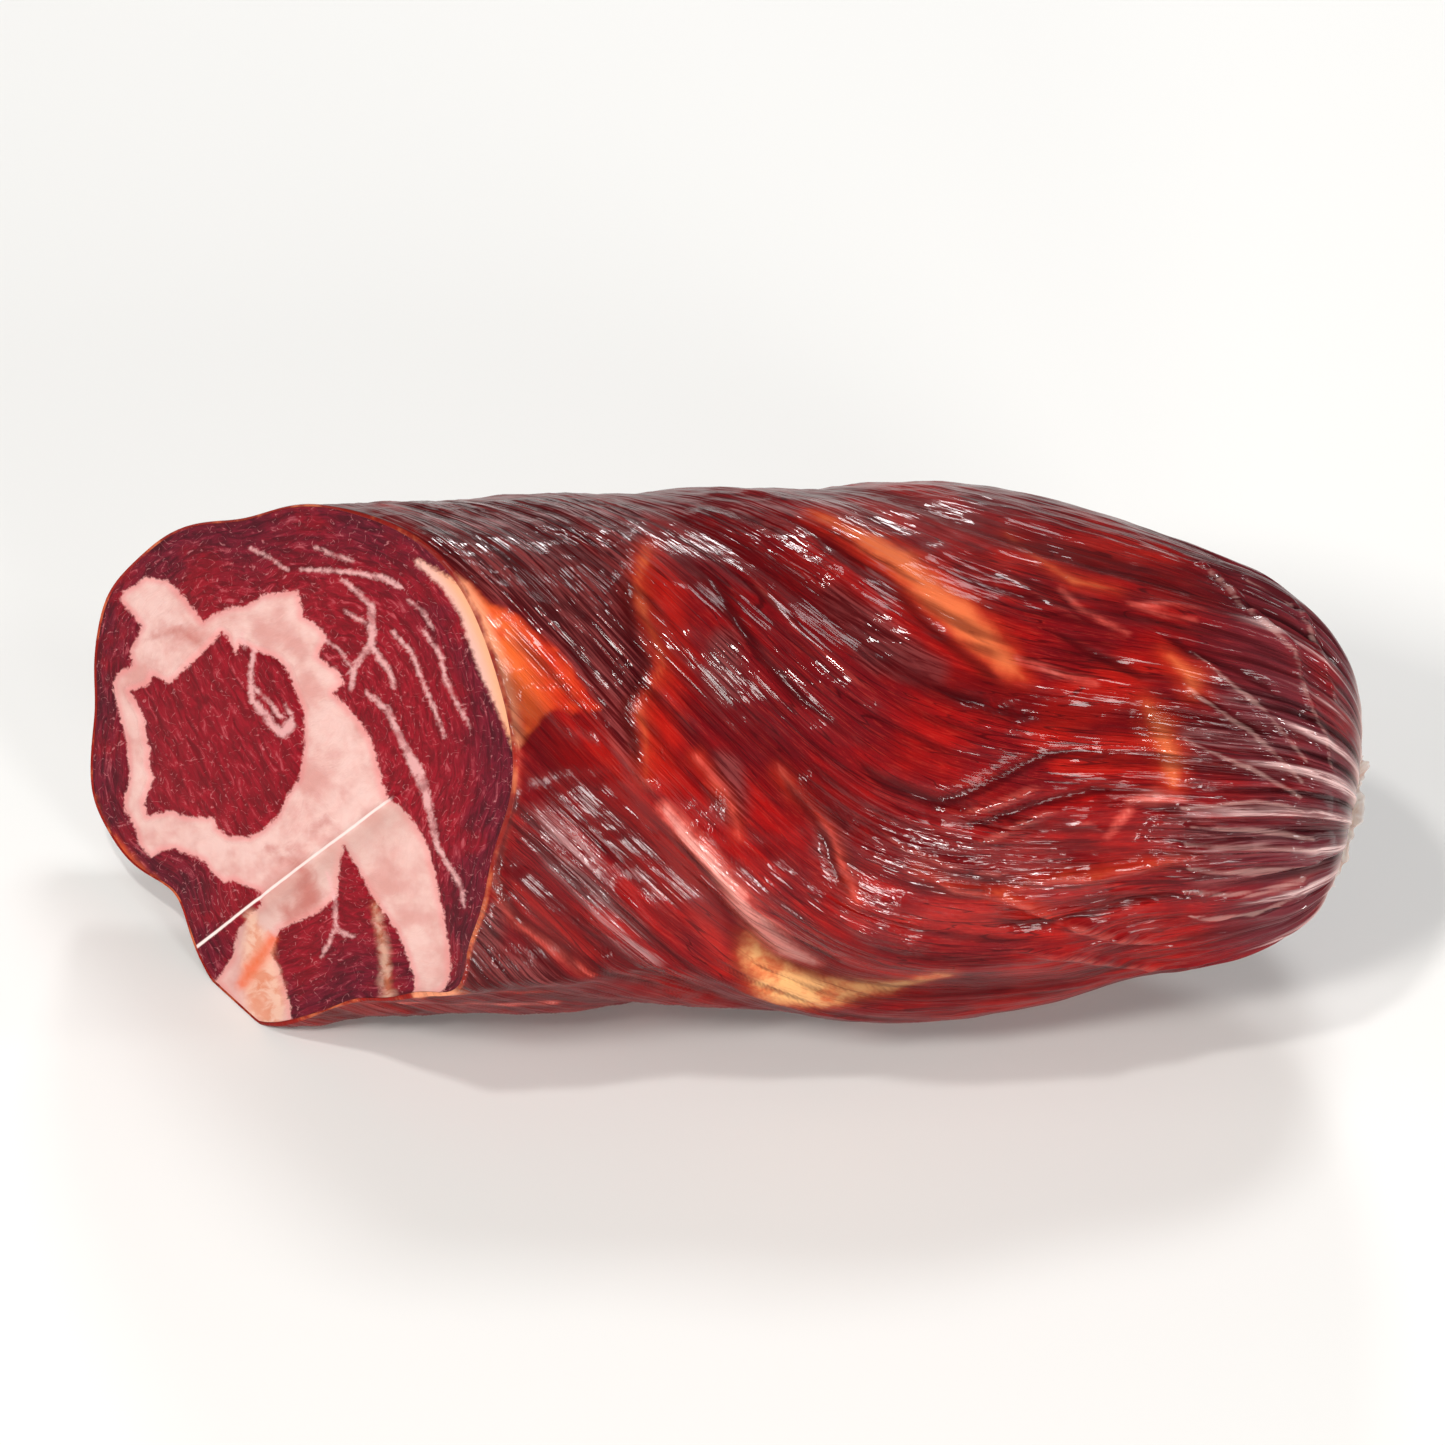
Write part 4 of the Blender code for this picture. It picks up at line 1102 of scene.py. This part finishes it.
FACE_VEINS = (
    ((23.9, 17.7, 0.22), (24.3, 15.7, 0.22)),
    ((25.6, 15.4, 0.29), (25.3, 11.7, 0.36), (25.6, 8.2, 0.43), (27.1, 6.5, 0.58), (28.7, 4.5, 0.58),
     (30.2, 3.5, 0.72), (31.1, 4.6, 0.86)),
    ((25.9, 9.9, 0.22), (27.9, 8.2, 0.22), (29.7, 5.9, 0.29)),
    ((30.5, 7.5, 0.14), (31.5, 5.9, 0.22), (31.4, 4.3, 0.43)),
    ((38.6, 25.5, 0.22), (40.8, 23.6, 0.29), (42.8, 21.7, 0.43), (42.9, 18.9, 0.50), (42.9, 16.4, 0.50),
     (41.5, 14.5, 0.43)),
    ((41.5, 14.5, 0.43), (40.3, 12.7, 0.43), (40.0, 9.8, 0.29)),
    ((42.9, 16.1, 0.36), (44.1, 14.0, 0.43), (45.4, 12.4, 0.36), (46.1, 10.2, 0.29)),
    ((39.2, 21.0, 0.14), (40.3, 20.2, 0.22), (41.8, 19.4, 0.22)),
    ((42.2, 9.2, 0.29), (43.8, 8.1, 0.29), (45.4, 6.5, 0.36), (46.8, 3.7, 0.43), (48.2, 0.7, 0.58),
     (49.7, -2.4, 0.86), (50.5, -4.8, 0.58)),
    ((50.5, -4.8, 0.58), (51.4, -8.4, 0.43), (52.1, -12.7, 0.36), (53.4, -15.3, 0.29), (55.3, -18.6, 0.29),
     (55.6, -21.2, 0.22)),
    ((45.8, 17.9, 0.22), (48.7, 14.8, 0.29), (50.1, 10.9, 0.22), (52.3, 6.2, 0.22), (53.4, 2.9, 0.14)),
    ((50.4, 17.9, 0.22), (52.6, 14.8, 0.29), (53.4, 10.9, 0.29), (55.3, 7.3, 0.22), (57.0, 4.3, 0.14)),
    ((32.4, 26.9, 0.14), (35.6, 26.8, 0.22), (39.9, 26.5, 0.29), (43.9, 25.8, 0.36), (46.8, 24.3, 0.29)),
    ((34.4, 30.1, 0.14), (37.3, 28.9, 0.22), (40.0, 28.1, 0.14)),
    ((24.8, 30.1, 0.14), (28.4, 28.4, 0.14), (30.5, 26.8, 0.14)),
    ((47.8, 22.6, 0.14), (50.0, 20.9, 0.22), (51.6, 18.3, 0.14)),
    ((36.3, 16.8, 0.22), (38.4, 15.4, 0.14), (39.5, 13.4, 0.14)),
    ((36.3, -16.7, 0.22), (37.0, -20.6, 0.29), (37.0, -24.8, 0.29), (38.6, -25.5, 0.22), (39.5, -25.8, 0.14)),
    ((37.0, -24.2, 0.22), (35.7, -27.1, 0.22), (34.6, -28.8, 0.14)),
)
FACE_CRESCENT = (
    ((49.2, 27.9, 0.36), (53.4, 24.8, 0.9), (56.6, 21.5, 1.6), (58.6, 17.0, 2.1), (60.2, 12.9, 2.2),
     (61.8, 8.8, 1.9), (63.0, 4.8, 1.3), (63.6, 1.0, 0.5)),
)
FACE_TAN = (
    ((42.5, -21.2, 0.29), (43.6, -27.2, 0.43), (44.1, -32.0, 0.58), (44.9, -35.0, 0.58)),
    ((24.8, -23.3, 0.8), (25.5, -27.5, 2.0), (25.5, -31.5, 2.6), (26.5, -35.5, 2.8), (27.6, -38.5, 1.6)),
)
FACE_ORANGE = (
    ((0.7, -6.5, 0.58), (2.3, -10.8, 0.72), (6.6, -15.8, 0.72), (10.4, -18.6, 0.43)),
    ((23.0, -32.8, 0.6), (24.5, -30.7, 0.9), (27.5, -26.5, 0.6)),
)
FACE_FLESHY = (
    ((31.0, -13.6, 0.4), (33.0, -17.0, 1.0), (33.5, -20.5, 1.4), (30.5, -22.5, 1.0)),
    ((34.4, -10.6, 0.0), (36.4, -9.2, 0.2)),
    ((27.6, -13.0, 0.0), (29.4, -14.4, 0.2)),
    ((5.9, 14.2, 0.4), (6.4, 17.6, 0.5)),
    ((10.4, 17.4, 0.2), (14.6, 18.4, 0.4), (17.4, 16.6, 0.2)),
)
FACE_CREASE = (((16.8, -27.8, 0.0), (46.4, -5.8, 0.0)),)
# The crease on the section: the f and u of its foot, and how far it runs in each.
CREASE_FOOT = (-22.9, -27.8)
CREASE_RUN = (39.0, 22.3)
CREASE_LENGTH = math.hypot(*CREASE_RUN)


def crease_place(f, u):
    """How far below the crease a place lies, in mm, and its share of the crease's length."""
    right, up = f - CREASE_FOOT[0], u - CREASE_FOOT[1]
    below = (right * CREASE_RUN[1] - up * CREASE_RUN[0]) / CREASE_LENGTH
    return below, (right * CREASE_RUN[0] + up * CREASE_RUN[1]) / CREASE_LENGTH**2


def face_relief(f, u):
    """How far the cut face stands out of its plane: a low dome, and the fall below the crease."""
    below, along = crease_place(f, u)
    fall = FACE_FALL * np.maximum(0.0, below) * (1.0 - ramp(along, 0.75, 1.25))
    return FACE_DOME * (1.0 - np.minimum(1.0, (f * f + u * u) / FACE_RADIUS**2)) - fall


face_bands = FACE_FRONT_RINGS + len(FACE_BACK_RINGS)
face, face_band, face_angle = spanned_globe("cut_face", FACE_COLUMNS, face_bands)
rim_f, rim_u = rim_place(face_angle)
rim_out = np.hypot(rim_f, rim_u)
whole = (rim_out - FACE_INSET) / rim_out
on_front = face_band <= FACE_FRONT_RINGS
share = np.where(on_front, whole * face_band / FACE_FRONT_RINGS, 0.0)
depth = np.zeros(len(face_band))
for step, (inset, back) in enumerate(FACE_BACK_RINGS, start=1):
    at = face_band == FACE_FRONT_RINGS + step
    share[at] = np.maximum(0.0, (rim_out[at] - FACE_INSET - inset) / rim_out[at])
    depth[at] = back
share[face_band == face_bands] = 0.0
face_f, face_u = rim_f * share, rim_u * share
face_x = cut_plane(face_f, face_u)
seen = np.stack((face_x, face_u), axis=-1)
fat_reach = inside_reach(seen, FACE_FAT_OUTLINE)
eye_reach = inside_reach(seen, FACE_EYE_OUTLINE)
fat_reach = np.minimum(fat_reach, -eye_reach)
vein_reach = reach_of(seen, FACE_VEINS)
crescent_reach = reach_of(seen, FACE_CRESCENT)
crease_gap = -reach_of(seen, FACE_CREASE)
stand = face_relief(face_f, face_u)
stand = stand + 0.10 * ramp(eye_reach, 0.0, 4.0) - 0.14 * bump(fat_reach, 0.5)
stand = stand + 0.16 * bump(crease_gap, 0.45) - 0.10 * bump(crease_gap - 1.2, 0.8)
swell = noise_of(np.stack((face_x * 0.12, face_u * 0.12, face_u * 0.0), axis=-1))
grit = noise_of(np.stack((face_x * 0.8, face_u * 0.8, face_u * 0.0 + 5.0), axis=-1))
stand = stand + 0.16 * swell + 0.05 * grit
stand = stand * (1.0 - (share / whole.clip(0.5)) ** 8).clip(0.0, 1.0)
face_x = np.where(on_front, face_x - stand + 0.10, face_x + depth)

# What the colours follow. The lean's fibres run along the rim in the outer muscles and across the
# fat ring's inside in the inner one.
lower, crease_share = crease_place(face_f, face_u)
knife = ramp(crease_share, -0.02, 0.02) * (1.0 - ramp(crease_share, 0.94, 1.0))
edge_gap = rim_out * (1.0 - share)
turn = np.radians(face_angle)
outer_strand = np.stack((edge_gap * 1.1, np.cos(turn) * 9.0, np.sin(turn) * 9.0), axis=-1)
across, down = 0.9 * seen[:, 0] + 0.5 * seen[:, 1], 0.22 * seen[:, 1] - 0.12 * seen[:, 0]
inner_strand = np.stack((across, down, depth * 0.0 + 60.0), axis=-1)
in_eye = ramp(eye_reach, -2.0, 0.0)[:, None]
for name, values in (
    ("fat", fat_reach),
    ("vein", vein_reach),
    ("crescent", crescent_reach),
    ("tan", reach_of(seen, FACE_TAN)),
    ("orange", reach_of(seen, FACE_ORANGE)),
    ("fleshy", reach_of(seen, FACE_FLESHY)),
    ("knife", knife),
    ("lower", lower),
    ("edge_gap", edge_gap),
    ("seen", np.stack((seen[:, 0], seen[:, 1], depth), axis=-1)),
    ("strand", np.where(in_eye > 0.5, inner_strand, outer_strand)),
):
    keep_attribute(face, name, values)
lay_corners(face, face_x, face_f, face_u)

# Colours of the cut face, in linear light.
EYE_DARK = (0.130, 0.001, 0.005, 1.0)
EYE_RED = (0.270, 0.003, 0.012, 1.0)
RIM_DARK = (0.050, 0.001, 0.006, 1.0)
RIM_RED = (0.140, 0.004, 0.016, 1.0)
WISP_PINK = (0.58, 0.15, 0.17, 1.0)
CURL_PINK = (0.66, 0.25, 0.26, 1.0)
FAT_ROSY = (0.56, 0.27, 0.24, 1.0)
FAT_PALE = (0.69, 0.45, 0.41, 1.0)
FAT_CLOUD = (0.62, 0.30, 0.27, 1.0)
FAT_EDGE = (0.66, 0.20, 0.20, 1.0)
FAT_SHADE_BELOW = (0.46, 0.26, 0.22, 1.0)
FLESHY_FAT = (0.40, 0.095, 0.075, 1.0)
VEIN_FAT = (0.68, 0.36, 0.35, 1.0)
CRESCENT_EDGE = (0.78, 0.34, 0.19, 1.0)
CRESCENT_FAT = (0.70, 0.38, 0.32, 1.0)
TAN_DARK = (0.60, 0.19, 0.08, 1.0)
TAN_FAT = (0.70, 0.42, 0.30, 1.0)
ORANGE_FAT = (0.66, 0.09, 0.018, 1.0)
CREASE_HIGHLIGHT = (0.90, 0.70, 0.66, 1.0)

face_look, tree, surface = new_look("cut_meat")
flat = named(tree, "seen", vector=True)
cloud = mottling(tree, flat, 0.14, 4.0, 0.55)
blotch = mottling(tree, flat, 0.45, 4.0, 0.55, 0.4)
fibre = mottling(tree, flat, 1.3, 4.0, 0.6, 0.6)
grits = mottling(tree, flat, 5.0, 3.0, 0.6)
strand = mottling(tree, named(tree, "strand", vector=True), 1.0, 4.0, 0.62, 0.9)

# Lean in strands, darker near the rim, with wisps and curls of fine fat.
strand_tone = ranged(tree, strand, 0.34, 0.66)
lean = blended(tree, strand_tone, EYE_DARK, EYE_RED)
rim_lean = blended(tree, strand_tone, RIM_DARK, RIM_RED)
near_edge = ranged(tree, named(tree, "edge_gap"), 1.0, 15.0, 1.0, 0.0)
near_edge = times(tree, near_edge, ranged(tree, cloud, 0.30, 0.55))
lean = blended(tree, near_edge, lean, rim_lean)
wisps = times(tree, ranged(tree, strand, 0.57, 0.68), ranged(tree, blotch, 0.40, 0.60))
colour = blended(tree, times(tree, wisps, 0.35), lean, WISP_PINK)
curls = worked(tree, "SUBTRACT", mottling(tree, flat, 0.36, 1.0, 0.4, 1.8), 0.5)
curls = ranged(tree, worked(tree, "ABSOLUTE", curls), 0.004, 0.020, 1.0, 0.0)
curls = times(tree, curls, ranged(tree, fibre, 0.46, 0.62, 0.0, 0.42))
colour = blended(tree, curls, colour, CURL_PINK)

# The ring of fat, rosy at its edges, with painted shade just below the crease, and fleshy in places.
fat_colour = blended(tree, ranged(tree, cloud, 0.34, 0.60), FAT_ROSY, FAT_PALE)
fat_colour = blended(tree, ranged(tree, blotch, 0.40, 0.70, 0.0, 0.4), fat_colour, FAT_CLOUD)
fat_edge = ranged(tree, named(tree, "fat"), 0.1, 1.3, 0.6, 0.0)
fat_colour = blended(tree, fat_edge, fat_colour, FAT_EDGE)
lower = named(tree, "lower")
# Painted shade on the fat just below the crease, strongest near it.
below = times(tree, ranged(tree, lower, 0.0, 0.8), ranged(tree, lower, 1.0, 7.0, 0.55, 0.12))
fat_colour = blended(tree, below, fat_colour, FAT_SHADE_BELOW)
fleshy = masked(tree, named(tree, "fleshy"), blotch, 3.4, 1.4)
fat_colour = blended(tree, times(tree, fleshy, 0.7), fat_colour, FLESHY_FAT)
colour = blended(tree, masked(tree, named(tree, "fat"), fibre, 1.5, 0.22), colour, fat_colour)

# Veins, the crescent under the rim, yellowed fat, and a painted highlight along the crease left by the knife.
vein = masked(tree, named(tree, "vein"), fibre, 1.3, 0.34)
vein = times(tree, vein, ranged(tree, blotch, 0.34, 0.52, 0.35, 0.85))
crescent = masked(tree, named(tree, "crescent"), fibre, 1.4, 0.45)
crescent_depth = ranged(tree, named(tree, "edge_gap"), 0.6, 3.0)
crescent_colour = blended(tree, crescent_depth, CRESCENT_EDGE, CRESCENT_FAT)
tanned = masked(tree, named(tree, "tan"), blotch, 2.4, 1.0)
tan_colour = blended(tree, ranged(tree, blotch, 0.40, 0.58), TAN_DARK, TAN_FAT)
orange = masked(tree, named(tree, "orange"), blotch, 2.4, 1.0)
crease_highlight = ranged(tree, worked(tree, "ABSOLUTE", lower), 0.10, 0.34, 1.0, 0.0)
colour = layered(
    tree,
    colour,
    (vein, VEIN_FAT),
    (crescent, crescent_colour),
    (times(tree, tanned, 0.7), tan_colour),
    (times(tree, orange, 0.8), ORANGE_FAT),
    (times(tree, crease_highlight, named(tree, "knife")), CREASE_HIGHLIGHT),
)

height = worked(tree, "ADD", times(tree, strand, 0.6), times(tree, grits, 0.10))
plug(surface, {
    "Base Color": colour,
    "Roughness": ranged(tree, fibre, 0.3, 0.7, 0.32, 0.52),
    "IOR": 1.38,
    "Specular IOR Level": 0.12,
    "Coat Weight": 0.12,
    "Coat IOR": 1.33,
    "Coat Roughness": 0.12,
    "Subsurface Weight": 0.10,
    "Subsurface Radius": (0.0020, 0.0008, 0.0006),
    "Subsurface Scale": 1.0,
    "Normal": bumped(tree, height, 0.35, 0.0004),
})
face.data.materials.append(face_look)
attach(face, "root")
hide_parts("half_paio")


# The tail: the casing's cut-off end past the tie, a thin dry ruffle, whitish and half see-through. It
# is pressed against the gathered end and faces away from the shown side.
TAIL_COLUMNS = 256
TAIL_FINE = 6
TAIL_START = 179.3
TAIL_FULL_RADIUS = 8.9
TAIL_LEAN = math.radians(-15.0)
TAIL_TILT = math.radians(END_TURN)
# The ruffle's profile from the tie out and back in: how far it reaches past the tie, and its radius.
TAIL_PROFILE = np.array((
    (0.4, 3.0),
    (1.0, 4.6),
    (1.9, 6.8),
    (2.7, 8.4),
    (3.2, 9.3),
    (3.4, 9.4),
    (3.0, 8.4),
    (2.5, 6.4),
    (2.1, 3.4),
    (2.0, 1.2),
))
DRY_ROSY = (0.84, 0.62, 0.53, 1.0)
DRY_WHITE = (0.95, 0.90, 0.84, 1.0)
TAIL_FOLD_SHADE = (0.52, 0.22, 0.17, 1.0)
TIE_SHADE = (0.40, 0.13, 0.10, 1.0)

corners_along = np.arange(len(TAIL_PROFILE))
tail_steps = np.linspace(0.0, len(TAIL_PROFILE) - 1.0, len(TAIL_PROFILE) * TAIL_FINE)
tail_reach = np.interp(tail_steps, corners_along, TAIL_PROFILE[:, 0])
tail_radius = np.interp(tail_steps, corners_along, TAIL_PROFILE[:, 1])
tail_bands = len(tail_steps) + 1
tail, tail_band, tail_angle = spanned_globe("casing_tail", TAIL_COLUMNS, tail_bands)
turn = np.radians(tail_angle)
reach = np.where(tail_band == 0, 0.3, np.where(tail_band == tail_bands, 2.0, 0.0))
radius = np.zeros(len(tail_band))
inner = (tail_band > 0) & (tail_band < tail_bands)
reach[inner] = tail_reach[tail_band[inner] - 1]
radius[inner] = tail_radius[tail_band[inner] - 1]
far = radius / TAIL_FULL_RADIUS
radius = radius * (1.0 + 0.05 * np.sin(5.0 * turn + 0.6) + 0.025 * np.sin(13.0 * turn))
folds = 0.6 * np.sin(17.0 * turn + 1.2 * np.sin(3.0 * turn)) + 0.4 * np.sin(29.0 * turn + 1.0)
reach = reach + far**2 * (0.35 * np.sin(7.0 * turn) + 0.20 * np.sin(4.0 * turn + 2.0))
reach = reach + 0.55 * np.sin(math.pi * far.clip(0.0, 1.0) ** 0.7) * folds + 0.25 * far * folds
radius = radius * (1.0 + 0.03 * folds * far)
forward, upward = radius * np.cos(turn), radius * np.sin(turn)
tail_x = TAIL_START + reach * math.cos(TAIL_LEAN) - upward * math.sin(TAIL_LEAN)
tail_x = tail_x + forward * math.sin(TAIL_TILT)
tail_f = TIE_MIDDLE[0] + forward * math.cos(TAIL_TILT)
tail_u = TIE_MIDDLE[1] + reach * math.sin(TAIL_LEAN) + upward * math.cos(TAIL_LEAN)
keep_attribute(tail, "fold", folds)
keep_attribute(tail, "far", far)
lay_corners(tail, tail_x, tail_f, tail_u)

tail_look, tree, surface = new_look("dry_casing")
placed = add_node(tree, "ShaderNodeTexCoord").outputs["Object"]
creases = mottling(tree, placed, 420.0, 4.0, 0.6)
colour = blended(tree, ranged(tree, creases, 0.35, 0.65), DRY_ROSY, DRY_WHITE)
# Painted shade in the ruffle's folds.
colour = blended(tree, ranged(tree, named(tree, "fold"), -0.8, 0.2, 0.6, 0.0), colour, TAIL_FOLD_SHADE)
# Painted shadow on the ruffle near the tie.
colour = blended(tree, ranged(tree, named(tree, "far"), 0.12, 0.55, 0.75, 0.0), colour, TIE_SHADE)
plug(surface, {
    "Base Color": colour,
    "Roughness": 0.35,
    "Alpha": 0.55,
    "Subsurface Weight": 0.5,
    "Subsurface Radius": (0.0020, 0.0016, 0.0012),
    "Subsurface Scale": 1.0,
    "Normal": bumped(tree, creases, 0.5, 0.0003),
})
tail.data.materials.append(tail_look)
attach(tail, "root")
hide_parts("half_paio")
